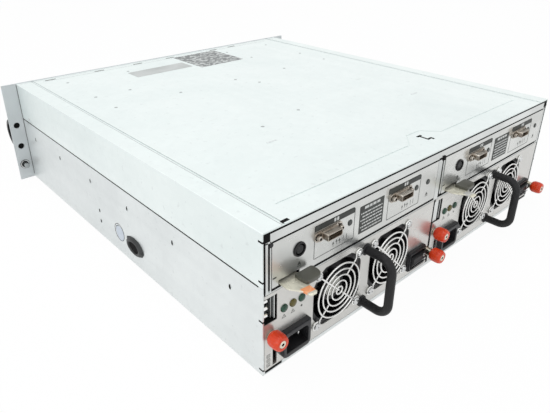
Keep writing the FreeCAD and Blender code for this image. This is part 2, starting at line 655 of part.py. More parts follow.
def pw_guards(x0):
    """Wire finger guards: concentric rings over two crossed legs that end at the screws."""
    solids = []
    w = GUARD_WIRE
    seat = w * 0.9          # rings bed a little into the legs, as welded wires do
    reach = FAN_SCREWS / 2
    for u in FAN_X:
        x = x0 + u
        rings = []
        for r in GUARD_RINGS:
            outer = bar(x, seat, seat + w, FAN_Z, r + w / 2, GUARD_SIDES)
            rings.append(outer.cut(bar(x, seat, seat + w, FAN_Z, r - w / 2, GUARD_SIDES)))
        legs = []
        for k in range(4):
            leg = box(x, x + reach * math.sqrt(2), 0, w, FAN_Z - w / 2, FAN_Z + w / 2)
            leg.rotate(V(x, 0, FAN_Z), V(0, 1, 0), 45 + 90 * k)
            legs.append(leg)
        loops, heads = [], []
        for sx in (-1, 1):
            for sz in (-1, 1):
                px, pz = x + sx * reach, FAN_Z + sz * reach
                loops.append(bar(px, 0, w, pz, SCREW_R + 0.4, 10))
                heads.append(tapered(px, pz, 10, [(w, SCREW_R), (w + SCREW_H * 0.6, SCREW_R),
                                                  (w + SCREW_H, SCREW_R - 1.0)]))
        solids.append(fuse(rings + legs + loops))
        solids.extend(heads)
    return solids


def pw_handle(x0):
    """Bent round bar between the fans, with a flange at each foot."""
    x = x0 + HANDLE_U
    lo, hi = HANDLE_Z
    r, out, bend = HANDLE_R, HANDLE_OUT, HANDLE_BEND
    foot = 1.0
    bars = [bar(x, 0, out - bend, lo, r, HANDLE_SIDES), bar(x, 0, out - bend, hi, r, HANDLE_SIDES)]
    post = [(px, out + pz, lo + bend) for px, _, pz in ngon(x, 0, 0, r, HANDLE_SIDES)]
    bars.append(prism(post, (0, 0, hi - lo - 2 * bend)))
    for z, turn in ((lo, 90), (hi, -90)):
        pts = [V(*p) for p in ngon(x, z, out - bend, r, HANDLE_SIDES)]
        section = Part.Face(Part.makePolygon(pts + [pts[0]]))
        centre = V(x, out - bend, z + math.copysign(bend, turn))
        bars.append(section.revolve(centre, V(1, 0, 0), turn))
    feet = [bar(x, 0, foot, z, r + 1.2, HANDLE_SIDES) for z in (lo, hi)]
    return fuse(bars + feet)


def pw_inlet(x0):
    """Chassis power inlet with its recessed socket and three blades."""
    x = x0 + INLET_U
    w, h = INLET_W / 2, INLET_H / 2
    bezel = rounded(box(x - w, x + w, 0, INLET_OUT, INLET_Z - h, INLET_Z + h), 3.0, "Y",
                    lambda p: p.z < INLET_Z)
    body = box(x - w + 2.2, x + w - 2.2, -SOCKET_DEEP + 1, 0, INLET_Z - h + 2.2, INLET_Z + h - 2.2)
    sw, sh = SOCKET_W / 2, SOCKET_HT / 2
    cut = 4.0
    outline = [(-sw, -sh), (sw, -sh), (sw, sh - cut), (sw - cut, sh), (-sw + cut, sh), (-sw, sh - cut)]
    socket = prism([(x + a, INLET_OUT - SOCKET_DEEP, INLET_Z + b) for a, b in outline],
                   (0, SOCKET_DEEP + 1, 0))
    inlet = fuse([bezel, body]).cut(socket)
    blades = []
    for dx, dz in ((-7, -2), (7, -2), (0, 2)):
        blades.append(box(x + dx - 1, x + dx + 1, INLET_OUT - SOCKET_DEEP - 1, BLADE_END,
                          INLET_Z + dz - 2, INLET_Z + dz + 2))
    return fuse([inlet] + blades)


def pw_switch_frame(x0):
    x = x0 + SWITCH_U
    w, h = SWITCH_W / 2, SWITCH_H / 2
    bezel = rounded(box(x - w, x + w, 0, SWITCH_OUT, SWITCH_Z - h, SWITCH_Z + h), 2.0)
    body = box(x - w + 1.7, x + w - 1.7, -16, 0, SWITCH_Z - h + 1.7, SWITCH_Z + h - 1.7)
    well = box(x - w + 3, x + w - 3, -12, SWITCH_OUT + 1, SWITCH_Z - h + 3, SWITCH_Z + h - 3)
    frame = fuse([bezel, body]).cut(well)
    return frame


def pw_rocker(x0):
    """Rocker: ridge along the middle, two sloping faces, swinging on a sideways axis."""
    x = x0 + SWITCH_U
    w = SWITCH_W / 2 - 3 - ROCKER_GAP
    h = SWITCH_H / 2 - 3 - ROCKER_SWING
    y = ROCKER_PIVOT_Y
    top = SWITCH_OUT + ROCKER_OUT
    pts = [(y - 3, -4), (y, -h + 1.2), (SWITCH_OUT + 0.8, -h + 0.6), (top - 0.8, -0.8), (top - 0.8, 0.8),
           (SWITCH_OUT + 3.2, h - 0.9), (y, h - 1.2), (y - 3, 4)]
    return prism([(x - w, a, SWITCH_Z + b) for a, b in pts], (2 * w, 0, 0))


def pw_lights(x0):
    lights = []
    for u in LED_U:
        stem = bar(x0 + u, -6, 0.5, LED_Z, LED_R - 1.0, 10)
        cap = tapered(x0 + u, LED_Z, 20, [(0, LED_R), (0.8, LED_R), (1.6, LED_R * 0.7)])
        lights.append(fuse([stem, cap]))
    return lights


def pw_thumbscrew(x0, place):
    """Captive thumbscrew: shank through the faceplate, collar, flared grip and slotted tip."""
    u, z, stand = place
    y = stand
    x = x0 + u
    shank = turned(x, z, [(0, -10), (KNOB_SHANK_R, -9), (KNOB_SHANK_R, 1), (0, 1)])
    collar = bar(x, 0.3, y + 0.5, z, KNOB_NECK_R - 0.8, KNOB_FLUTES)
    grip = tapered(x, z, KNOB_FLUTES, [(y, KNOB_NECK_R), (y + KNOB_L * 0.5, KNOB_R),
                                       (y + KNOB_L - 1.2, KNOB_R), (y + KNOB_L, KNOB_TIP_R + 1)])
    return fuse([shank, collar, grip])


# ---- build --------------------------------------------------------------------------------
save("chassis_tray", chassis_tray())
save("side_plug", side_plug())
save("top_cover", top_cover())
save("rear_frame", rear_frame())
save("front_frame", front_frame())
save("ear_caps", ear_caps())
save("ear_screws", ear_screws())
save("drive_cage", drive_cage())
save("midplane_board", midplane_board())
for i in range(BAYS):
    save("drive_carrier_%02d" % (i + 1), drive_carrier(i))
for k in (0, 1):
    n = k + 1
    x0 = IO_X0 - k * MODULE_PITCH
    save("io_%d_case" % n, io_case(x0))
    save("io_%d_board" % n, io_board(x0))
    save("io_%d_ports" % n, io_ports(x0))
    save("io_%d_console_port" % n, io_console(x0))
    save("io_%d_lenses" % n, io_lenses(x0))
    save("io_%d_release_tab" % n, io_tab(x0))
    x0 = PW_X0 - k * MODULE_PITCH
    save("power_%d_case" % n, pw_case(x0))
    save("power_%d_fan_frames" % n, pw_fan_frames(x0))
    save("power_%d_rotor_a" % n, pw_rotor(x0 + FAN_X[1]))
    save("power_%d_rotor_b" % n, pw_rotor(x0 + FAN_X[0]))
    save("power_%d_fan_guards" % n, pw_guards(x0))
    save("power_%d_handle" % n, pw_handle(x0))
    save("power_%d_inlet" % n, pw_inlet(x0))
    save("power_%d_switch_frame" % n, pw_switch_frame(x0))
    save("power_%d_rocker" % n, pw_rocker(x0))
    save("power_%d_lights" % n, pw_lights(x0))
    save("power_%d_thumbscrew_outer" % n, pw_thumbscrew(x0, KNOB_LEFT))
    save("power_%d_thumbscrew_inner" % n, pw_thumbscrew(x0, KNOB_RIGHT))
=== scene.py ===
import math

import bmesh
import bpy
from mathutils import Matrix, Vector


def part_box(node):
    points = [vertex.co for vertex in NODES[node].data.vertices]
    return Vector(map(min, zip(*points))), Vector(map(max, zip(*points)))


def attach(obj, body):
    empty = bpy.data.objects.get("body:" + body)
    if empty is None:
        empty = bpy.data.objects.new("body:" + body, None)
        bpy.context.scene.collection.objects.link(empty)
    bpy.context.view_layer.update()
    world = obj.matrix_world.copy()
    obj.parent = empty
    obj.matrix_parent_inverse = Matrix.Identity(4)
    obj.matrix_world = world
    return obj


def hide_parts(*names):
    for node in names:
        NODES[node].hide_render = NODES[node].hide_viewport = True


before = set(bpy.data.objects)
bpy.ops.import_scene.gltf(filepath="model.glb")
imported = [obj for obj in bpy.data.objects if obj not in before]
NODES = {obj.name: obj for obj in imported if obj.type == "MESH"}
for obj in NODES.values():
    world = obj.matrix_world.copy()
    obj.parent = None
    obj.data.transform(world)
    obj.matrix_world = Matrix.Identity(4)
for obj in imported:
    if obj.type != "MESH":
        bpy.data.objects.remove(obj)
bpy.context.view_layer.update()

MM = 0.001
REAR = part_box("rear_frame")[1].y / MM        # plane of the module faces
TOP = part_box("top_cover")[1].z / MM          # skin of the cover
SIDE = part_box("top_cover")[1].x / MM         # outer face of the right-hand wall
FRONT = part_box("front_frame")[0].y / MM      # front of the ear plate
SEAM_Z = (82.8, 84.15)                       # gap between tray and cover
RAIL_Z = 64.0                                # height of the small rail holes in the wall
EAR_SCREW = (232.55, 20.8)                   # x and z of the captive screws


# ---- shape helpers: everything is drawn in millimetres ------------------------------------
def add_loops(bm, loops, endless=False):
    """Skins a chain of matching outlines of (x, y, z) corners, capped or closed on itself."""
    rows = [[bm.verts.new(p) for p in loop] for loop in loops]
    for a, b in zip(rows, rows[1:] + rows[:1] if endless else rows[1:]):
        for i in range(len(a)):
            j = (i + 1) % len(a)
            bm.faces.new((a[i], a[j], b[j], b[i]))
    if not endless:
        bm.faces.new(list(reversed(rows[0])))
        bm.faces.new(rows[-1])


def add_prism(bm, outline, y0, y1):
    """Flat outline of (x, z) corners pushed along Y."""
    add_loops(bm, [[(x, y, z) for x, z in outline] for y in (y0, y1)])


def add_plate(bm, outline, z0, z1):
    """Flat outline of (x, y) corners pushed along Z."""
    add_loops(bm, [[(x, y, z) for x, y in outline] for z in (z0, z1)])


def add_section(bm, outline, x0, x1):
    """Flat outline of (y, z) corners pushed along X."""
    add_loops(bm, [[(x, y, z) for y, z in outline] for x in (x0, x1)])


def add_ring(bm, outer, inner, y0, y1):
    """Closed frame between two outlines that have the same number of corners."""
    add_loops(bm, [[(x, y, z) for x, z in line] for line, y in (
        (outer, y0), (outer, y1), (inner, y1), (inner, y0))], endless=True)


def add_box(bm, x0, x1, y0, y1, z0, z1):
    add_prism(bm, [(x0, z0), (x1, z0), (x1, z1), (x0, z1)], y0, y1)


def add_lathe(bm, x, z, profile, sides=48, flute=None):
    """Turns (radius, y) points about a line along Y; flute(radius, y, angle) may dent it."""
    rings = []
    for r, y in profile:
        if r < 1e-6:
            rings.append([bm.verts.new((x, y, z))])
            continue
        ring = []
        for i in range(sides):
            a = 2 * math.pi * i / sides
            q = flute(r, y, a) if flute else r
            ring.append(bm.verts.new((x + q * math.cos(a), y, z + q * math.sin(a))))
        rings.append(ring)
    for a, b in zip(rings, rings[1:]):
        for i in range(sides):
            j = (i + 1) % sides
            corners = [a[i % len(a)], a[j % len(a)], b[j % len(b)], b[i % len(b)]]
            corners = list(dict.fromkeys(corners))
            if len(corners) > 2:
                bm.faces.new(corners)


def add_tube(bm, path, radius, sides=16):
    """Round bar along a path of points."""
    pts = [Vector(p) for p in path]
    loops, side = [], None
    for i, p in enumerate(pts):
        along = (pts[min(i + 1, len(pts) - 1)] - pts[max(i - 1, 0)]).normalized()
        if side is None:
            side = along.orthogonal().normalized()
        side = (side - along * side.dot(along)).normalized()
        up = along.cross(side)
        loops.append([p + radius * (math.cos(a) * side + math.sin(a) * up)
                      for a in (2 * math.pi * k / sides for k in range(sides))])
    add_loops(bm, loops)


def corner_arc(cx, cz, r, start, steps=6):
    turns = (math.radians(start + 90 * k / steps) for k in range(steps + 1))
    return [(cx + r * math.cos(a), cz + r * math.sin(a)) for a in turns]


def both_sides(a, b):
    """The span a..b of x on the right, and its mirror on the left."""
    return (-b, -a), (a, b)


def rounded_outline(x, z, w, h, radii, steps=6):
    """Rectangle with its own radius at each corner: right top, left top, left bottom, right
    bottom."""
    a, b = w / 2, h / 2
    out = []
    for r, sx, sz, start in zip(radii, (1, -1, -1, 1), (1, 1, -1, -1), (0, 90, 180, 270)):
        out += corner_arc(x + sx * (a - r), z + sz * (b - r), r, start, steps)
    return out


def ellipse(a, b, ra, rb, sides, start=0):
    """Corners of an ellipse about (a, b)."""
    turns = (math.radians(start + 360 * k / sides) for k in range(sides))
    return [(a + ra * math.cos(t), b + rb * math.sin(t)) for t in turns]


def circle_outline(x, z, r, n=32):
    return ellipse(x, z, r, r, n)


def soften(bm, width, segments=2, angle=28):
    bmesh.ops.remove_doubles(bm, verts=bm.verts, dist=1e-4)
    bmesh.ops.recalc_face_normals(bm, faces=bm.faces)
    edges = [e for e in bm.edges if len(e.link_faces) == 2
             and e.calc_face_angle() > math.radians(angle)]
    bmesh.ops.bevel(bm, geom=edges, offset=width, segments=segments, profile=0.6,
                    affect="EDGES", clamp_overlap=True)


def turned(bm, degrees, axis):
    """Turns all that is drawn about an axis through the origin."""
    bmesh.ops.rotate(bm, verts=bm.verts, cent=(0, 0, 0),
                     matrix=Matrix.Rotation(math.radians(degrees), 3, axis))


def mesh_of(name, bm, origin=(0, 0, 0)):
    """Closes a drawing in millimetres and gives its mesh in metres."""
    bmesh.ops.recalc_face_normals(bm, faces=bm.faces)
    mesh = bpy.data.meshes.new(name)
    bm.to_mesh(mesh)
    bm.free()
    mesh.transform(Matrix.Scale(MM, 4) @ Matrix.Translation(Vector(origin)))
    return mesh


def placed(name, data):
    obj = bpy.data.objects.new(name, data)
    bpy.context.scene.collection.objects.link(obj)
    return obj


def piece(name, bm, material, body, origin=(0, 0, 0), slot=None, crisp=32):
    """Makes a drawing an object that rides on a body."""
    return dressed(name, mesh_of(name, bm, origin), material, body, crisp)


def dressed(name, mesh, material, body, crisp=32):
    mesh.materials.clear()
    mesh.materials.append(material)
    for p in mesh.polygons:
        p.material_index = 0
    mesh.shade_smooth()
    mesh.set_sharp_from_angle(angle=math.radians(crisp))
    obj = placed(name, mesh)
    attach(obj, body)
    return obj


# ---- node trees that lay out what repeats ---------------------------------------------------
def new_tree(name, *sockets):
    tree = bpy.data.node_groups.new(name, "GeometryNodeTree")
    face = tree.interface
    face.new_socket(name="Geometry", in_out="INPUT", socket_type="NodeSocketGeometry")
    for label, kind in sockets + (("Material", "Material"),):
        face.new_socket(name=label, in_out="INPUT", socket_type="NodeSocket" + kind)
    face.new_socket(name="Geometry", in_out="OUTPUT", socket_type="NodeSocketGeometry")
    return tree, tree.nodes.new("NodeGroupInput"), tree.nodes.new("NodeGroupOutput")


def new_nodes(tree, *kinds):
    return [tree.nodes.new("GeometryNode" + kind) for kind in kinds]


def link(tree, *rows):
    """Makes links given as node, output, node, input."""
    for a, out, b, into in rows:
        tree.links.new(a.outputs[out], b.inputs[into])


def closing(tree, start, last, out, end):
    """Realize Instances and Set Material end every tree."""
    real, paint = new_nodes(tree, "RealizeInstances", "SetMaterial")
    link(tree, (last, out, real, "Geometry"), (real, "Geometry", paint, "Geometry"),
         (start, "Material", paint, "Material"), (paint, "Geometry", end, "Geometry"))


def tree_on_marks():
    """One piece set on each mark of the host mesh."""
    tree, start, end = new_tree("one_on_each_mark", ("Piece", "Object"))
    info, put = new_nodes(tree, "ObjectInfo", "InstanceOnPoints")
    link(tree, (start, "Piece", info, "Object"), (start, "Geometry", put, "Points"),
         (info, "Geometry", put, "Instance"))
    closing(tree, start, put, "Instances", end)
    return tree


def tree_row():
    """One piece repeated in a straight row."""
    tree, start, end = new_tree("row_of_pieces", ("Piece", "Object"), ("Count", "Int"),
                                ("First", "Vector"), ("Step", "Vector"))
    line, info, put = new_nodes(tree, "MeshLine", "ObjectInfo", "InstanceOnPoints")
    link(tree, (start, "Count", line, "Count"), (start, "First", line, "Start Location"),
         (start, "Step", line, "Offset"), (start, "Piece", info, "Object"),
         (line, "Mesh", put, "Points"), (info, "Geometry", put, "Instance"))
    closing(tree, start, put, "Instances", end)
    return tree


def tree_finger_guard():
    """Concentric wire rings welded on the host's straight wires."""
    tree, start, end = new_tree("finger_guard", ("Rings", "Int"), ("Inner radius", "Float"),
                                ("Ring pitch", "Float"), ("Wire radius", "Float"),
                                ("Centre", "Vector"))
    line, hoop, number, put, real, turn, wires, join, section, sweep = new_nodes(
        tree, "MeshLine", "CurvePrimitiveCircle", "InputIndex", "InstanceOnPoints",
        "RealizeInstances", "Transform", "MeshToCurve", "JoinGeometry", "CurvePrimitiveCircle",
        "CurveToMesh")
    size = tree.nodes.new("ShaderNodeMath")
    size.operation = "MULTIPLY_ADD"
    for node, label, value in ((line, "Offset", (0, 0, 0)), (hoop, "Resolution", 72),
                               (hoop, "Radius", 1.0), (turn, "Rotation", (math.pi / 2, 0, 0)),
                               (section, "Resolution", 12), (sweep, "Fill Caps", True)):
        node.inputs[label].default_value = value
    link(tree, (start, "Rings", line, "Count"), (number, "Index", size, 0),
         (start, "Ring pitch", size, 1), (start, "Inner radius", size, 2),
         (line, "Mesh", put, "Points"), (hoop, "Curve", put, "Instance"),
         (size, "Value", put, "Scale"), (put, "Instances", real, "Geometry"),
         (real, "Geometry", turn, "Geometry"), (start, "Centre", turn, "Translation"),
         (start, "Geometry", wires, "Mesh"), (turn, "Geometry", join, "Geometry"),
         (wires, "Curve", join, "Geometry"), (start, "Wire radius", section, "Radius"),
         (join, "Geometry", sweep, "Curve"), (section, "Curve", sweep, "Profile Curve"))
    closing(tree, start, sweep, "Mesh", end)
    return tree


ON_MARKS = tree_on_marks()
ROW = tree_row()
FINGER_GUARD = tree_finger_guard()
PATTERNS = []


def grown(name, host, tree, values, material, body, crisp=32):
    """Runs a tree on a host mesh and keeps the plain result as a piece."""
    obj = placed(name + "_host", host)
    mod = obj.modifiers.new("layout", "NODES")
    mod.node_group = tree
    values = dict(values, Material=material)
    for item in tree.interface.items_tree:
        if item.in_out == "INPUT" and item.name in values:
            mod[item.identifier] = values[item.name]
    graph = bpy.context.evaluated_depsgraph_get()
    mesh = bpy.data.meshes.new_from_object(obj.evaluated_get(graph), depsgraph=graph)
    obj.modifiers.remove(mod)
    bpy.data.objects.remove(obj)
    mesh.name = name
    return dressed(name, mesh, material, body, crisp)


def pattern(name, bm):
    """Source piece for a tree, drawn about the origin and removed at the end."""
    PATTERNS.append(placed(name, mesh_of(name, bm)))
    return PATTERNS[-1]


def marks(points):
    mesh = bpy.data.meshes.new("marks")
    mesh.from_pydata([Vector(p) * MM for p in points], [], [])
    return mesh


def on_marks(name, source, points, material, body):
    return grown(name, marks(points), ON_MARKS, {"Piece": source}, material, body)


def in_a_row(name, source, count, first, step, material, body):
    values = {"Piece": source, "Count": count, "First": [v * MM for v in first],
              "Step": [v * MM for v in step]}
    return grown(name, marks([(0, 0, 0)]), ROW, values, material, body)


# ---- finishes -------------------------------------------------------------------------------
def noise(tree, coords, scale, detail=3.0, stretch=None, warp=0.0):
    node = tree.nodes.new("ShaderNodeTexNoise")
    node.inputs["Scale"].default_value = scale
    node.inputs["Detail"].default_value = detail
    node.inputs["Distortion"].default_value = warp
    if stretch:
        mapping = tree.nodes.new("ShaderNodeMapping")
        mapping.inputs["Scale"].default_value = stretch
        tree.links.new(coords, mapping.inputs["Vector"])
        coords = mapping.outputs["Vector"]
    tree.links.new(coords, node.inputs["Vector"])
    return node.outputs["Fac"]


def spread(tree, value, low, high, a=0.3, b=0.7):
    """Maps a texture value from a..b to low..high."""
    node = tree.nodes.new("ShaderNodeMapRange")
    for label, number in (("From Min", a), ("From Max", b), ("To Min", low), ("To Max", high)):
        node.inputs[label].default_value = number
    tree.links.new(value, node.inputs["Value"])
    return node.outputs["Result"]


def sums(tree, a, b, operation="ADD"):
    node = tree.nodes.new("ShaderNodeMath")
    node.operation = operation
    for k, v in enumerate((a, b)):
        if isinstance(v, (int, float)):
            node.inputs[k].default_value = v
        else:
            tree.links.new(v, node.inputs[k])
    return node.outputs["Value"]


def blended(tree, factor, a, b):
    node = tree.nodes.new("ShaderNodeMix")
    node.data_type = "RGBA"
    tree.links.new(factor, node.inputs["Factor"])
    for socket, colour in (("A", a), ("B", b)):
        put = [s for s in node.inputs if s.name == socket and s.type == "RGBA"][0]
        if isinstance(colour, tuple):
            put.default_value = (*colour, 1)
        else:
            tree.links.new(colour, put)
    return [s for s in node.outputs if s.type == "RGBA"][0]


def finish_of(name, colour, second, metallic, roughness, *, patch=9.0, warp=0.6, streak=None,
              streak_amount=0.25, vary=0.08, grain=900.0, bump=0.02, spangle=0.0, speck=None,
              coat=0.0, gloss=0.5):
    """Worn surface: two tones in soft patches, streaks along the sheet, fine grain."""
    material = bpy.data.materials.new(name)
    material.use_nodes = True
    tree = material.node_tree
    shader = tree.nodes["Principled BSDF"]
    shader.inputs["Metallic"].default_value = metallic
    if coat:
        shader.inputs["Coat Weight"].default_value = coat
        shader.inputs["Coat Roughness"].default_value = 0.12
    shader.inputs["Specular IOR Level"].default_value = gloss
    coords = tree.nodes.new("ShaderNodeTexCoord").outputs["Object"]
    patches = spread(tree, noise(tree, coords, patch, 4.0, warp=warp), 0.0, 1.0)
    tone = patches
    rough = spread(tree, patches, roughness - vary, roughness + vary, 0, 1)
    fine = noise(tree, coords, grain, 2.0)
    height = fine
    if streak:
        lines = spread(tree, noise(tree, coords, 60.0, 3.0, stretch=streak), 0.0, 1.0)
        tone = sums(tree, sums(tree, tone, 1 - streak_amount, "MULTIPLY"),
                    sums(tree, lines, streak_amount, "MULTIPLY"))
        height = sums(tree, height, lines)
        rough = sums(tree, rough, spread(tree, lines, -vary / 2, vary / 2, 0, 1))
    if spangle:
        cells = tree.nodes.new("ShaderNodeTexVoronoi")
        cells.inputs["Scale"].default_value = 140.0
        tree.links.new(coords, cells.inputs["Vector"])
        flake = tree.nodes.new("ShaderNodeSeparateColor")
        tree.links.new(cells.outputs["Color"], flake.inputs["Color"])
        tone = sums(tree, tone, spread(tree, flake.outputs["Red"], -spangle, spangle, 0, 1))
        rough = sums(tree, rough, spread(tree, flake.outputs["Green"], -0.03, 0.03, 0, 1))
    paint = blended(tree, tone, colour, second)
    if speck:
        amount, shade, size, start = speck
        spots = spread(tree, noise(tree, coords, size, 2.0), 0.0, amount, start, start + 0.06)
        paint = blended(tree, spots, paint, shade)
    tree.links.new(paint, shader.inputs["Base Color"])
    tree.links.new(rough, shader.inputs["Roughness"])
    relief = tree.nodes.new("ShaderNodeBump")
    relief.inputs["Strength"].default_value = bump
    relief.inputs["Distance"].default_value = 0.0004
    tree.links.new(height, relief.inputs["Height"])
    tree.links.new(relief.outputs["Normal"], shader.inputs["Normal"])
    return material


def plastic(name, colour, second, roughness, *, patch=45.0, grain=2200.0, bump=0.10, gloss=0.3,
            coat=0.0):
    return finish_of(name, colour, second, 0.0, roughness, patch=patch, grain=grain, bump=bump,
                     gloss=gloss, coat=coat)


def lens(name, colour, second, roughness):
    return finish_of(name, colour, second, 0.0, roughness, patch=200.0, coat=0.25, gloss=0.3)


ALONG_Y = (1.0, 0.02, 1.0)
ALONG_X = (0.02, 1.0, 1.0)

COVER = finish_of("galvanised_cover", (0.86, 0.92, 0.905), (0.76, 0.82, 0.81), 0.55, 0.40,
                  patch=5.0, warp=1.2, streak=ALONG_Y, streak_amount=0.2, spangle=0.10, bump=0.05,
                  speck=(0.35, (0.62, 0.66, 0.66), 170.0, 0.66))
TRAY = finish_of("galvanised_tray", (0.80, 0.835, 0.83), (0.70, 0.73, 0.73), 0.6, 0.38, patch=7.0,
                 warp=1.0, streak=ALONG_Y, spangle=0.10, bump=0.05,
                 speck=(0.3, (0.55, 0.58, 0.58), 170.0, 0.66))
FRAME_STEEL = finish_of("frame_steel", (0.74, 0.76, 0.75), (0.60, 0.62, 0.61), 0.85, 0.30,
                        patch=14.0, streak=ALONG_X, bump=0.05)
FACE_TIN = finish_of("module_face_tin", (0.70, 0.71, 0.69), (0.58, 0.59, 0.575), 0.9, 0.26,
                     patch=16.0, streak=ALONG_X, spangle=0.06, bump=0.04)
FACE_NICKEL = finish_of("module_face_nickel", (0.70, 0.695, 0.67), (0.58, 0.575, 0.55), 0.7, 0.29,
                        patch=13.0, streak=ALONG_X, vary=0.05, bump=0.04)
EAR_PAINT = finish_of("ear_satin_grey", (0.62, 0.65, 0.66), (0.54, 0.57, 0.58), 0.3, 0.40,
                      patch=20.0, grain=1600.0, bump=0.08)
BLACK_PLASTIC = plastic("black_plastic", (0.014, 0.014, 0.015), (0.026, 0.026, 0.028), 0.42,
                        patch=40.0, grain=2600.0)
FAN_PLASTIC = plastic("fan_black", (0.006, 0.006, 0.007), (0.014, 0.014, 0.015), 0.36, patch=60.0,
                      grain=1800.0, bump=0.06)
HANDLE_COAT = plastic("handle_black", (0.010, 0.010, 0.011), (0.022, 0.022, 0.023), 0.50,
                      patch=50.0, bump=0.22, gloss=0.25)
CHARCOAL = plastic("moulded_charcoal", (0.014, 0.016, 0.016), (0.030, 0.033, 0.034), 0.42,
                   bump=0.12, gloss=0.4)
INLET_BLACK = plastic("moulded_inlet", (0.020, 0.020, 0.022), (0.034, 0.034, 0.037), 0.38)
PAD_OLIVE = plastic("thumb_pad_olive", (0.070, 0.070, 0.056), (0.105, 0.105, 0.085), 0.36,
                    patch=60.0, bump=0.08, gloss=0.5)
# Silver hub label; its strong light and dark patches are painted glints.
HUB_SILVER_PAINTED_GLINTS = finish_of("hub_label_silver_painted_glints", (0.92, 0.92, 0.86), (0.42, 0.42, 0.38), 0.55, 0.30,
                       patch=95.0, warp=2.5, bump=0.03)
WIRE = finish_of("guard_wire", (0.92, 0.92, 0.90), (0.80, 0.80, 0.78), 0.72, 0.24, patch=40.0)
CHROME = finish_of("bright_chrome", (0.90, 0.90, 0.90), (0.80, 0.80, 0.80), 1.0, 0.10, patch=80.0,
                   vary=0.04, grain=1500.0, bump=0.01)
ZINC = finish_of("zinc_screws", (0.72, 0.73, 0.73), (0.55, 0.56, 0.56), 1.0, 0.25, patch=120.0,
                 grain=2500.0, bump=0.05)
# Silver-beige shell; its dark brown patches are painted shading.
SOCKET_METAL = finish_of("socket_shell", (0.64, 0.61, 0.56), (0.36, 0.31, 0.26), 1.0, 0.24,
                         patch=150.0, warp=1.5, streak=ALONG_X, bump=0.04)
CREAM_INSERT = finish_of("socket_insert", (0.50, 0.47, 0.40), (0.30, 0.27, 0.22), 0.0, 0.45,
                         patch=160.0, bump=0.05)
TAB_STEEL = finish_of("spring_tab_cream", (0.88, 0.85, 0.72), (0.70, 0.67, 0.54), 0.4, 0.28,
                      patch=60.0, streak=ALONG_Y, bump=0.04)
TAB_PAD = finish_of("touch_pad_amber", (0.86, 0.28, 0.10), (0.92, 0.46, 0.24), 0.0, 0.34,
                    patch=220.0, warp=1.5, bump=0.08)
TAB_GREY = finish_of("touch_pad_grey", (0.52, 0.52, 0.50), (0.66, 0.66, 0.63), 0.3, 0.34,
                     patch=150.0, bump=0.08)
KNOB_ORANGE = plastic("knob_orange_red", (0.78, 0.062, 0.012), (0.62, 0.036, 0.008), 0.30,
                      patch=110.0, grain=2400.0, bump=0.08, coat=0.15)
KNOB_METAL = finish_of("knob_insert_nickel", (0.78, 0.74, 0.63), (0.60, 0.55, 0.45), 1.0, 0.24,
                       patch=150.0, bump=0.04)
LENS_GREEN = lens("lens_green", (0.004, 0.038, 0.020), (0.010, 0.075, 0.040), 0.16)
LENS_AMBER = lens("lens_olive_amber", (0.085, 0.068, 0.008), (0.16, 0.13, 0.02), 0.16)
LENS_DARK = lens("lens_dark", (0.022, 0.028, 0.024), (0.045, 0.055, 0.050), 0.14)
# Dark grey for print, and as painted shade on the side hole's eyelet.
INK_AND_SHADE_DARK = finish_of("print_and_shade_dark_grey", (0.040, 0.043, 0.040), (0.075, 0.080, 0.075), 0.0, 0.5,
                     patch=60.0, gloss=0.25)
# Mid grey painted shade: fold lines, spot-weld dimples and the ear screws.
SHADE_GREY = finish_of("painted_shade_grey", (0.30, 0.32, 0.32), (0.42, 0.44, 0.44), 0.2, 0.45, patch=30.0)
INK_PALE = finish_of("print_pale", (0.74, 0.75, 0.73), (0.62, 0.63, 0.61), 0.0, 0.5, patch=60.0)
LABEL_GREY = finish_of("label_slate", (0.15, 0.16, 0.16), (0.22, 0.23, 0.23), 0.0, 0.42, patch=30.0,
                       bump=0.03, gloss=0.3, speck=(0.8, (0.62, 0.64, 0.63), 190.0, 0.49))
LABEL_PALE = finish_of("label_silver", (0.54, 0.56, 0.55), (0.44, 0.46, 0.45), 0.1, 0.38,
                       patch=30.0, bump=0.03)
# Black painted shade: stands for the shade in gaps, holes, slots and recesses.
SHADOW_GAP = finish_of("painted_shade_black", (0.004, 0.004, 0.004), (0.010, 0.010, 0.010), 0.0, 0.8,
                       patch=30.0, bump=0.05, gloss=0.1)
BLUE_PLATE = finish_of("inner_sheet_blue", (0.52, 0.58, 0.66), (0.62, 0.67, 0.73), 0.5, 0.35,
                       patch=25.0, bump=0.03)
BOARD_GREEN = finish_of("circuit_green", (0.015, 0.10, 0.045), (0.03, 0.16, 0.07), 0.0, 0.30,
                        patch=180.0, grain=1200.0, bump=0.08, coat=0.4)
CARRIER_GREY = plastic("carrier_grey", (0.115, 0.12, 0.125), (0.155, 0.16, 0.165), 0.42, patch=40.0,
                       gloss=0.5)
LATCH_GREY = finish_of("latch_light_grey", (0.42, 0.43, 0.44), (0.34, 0.35, 0.36), 0.1, 0.36,
                       patch=40.0, grain=2200.0, bump=0.08)

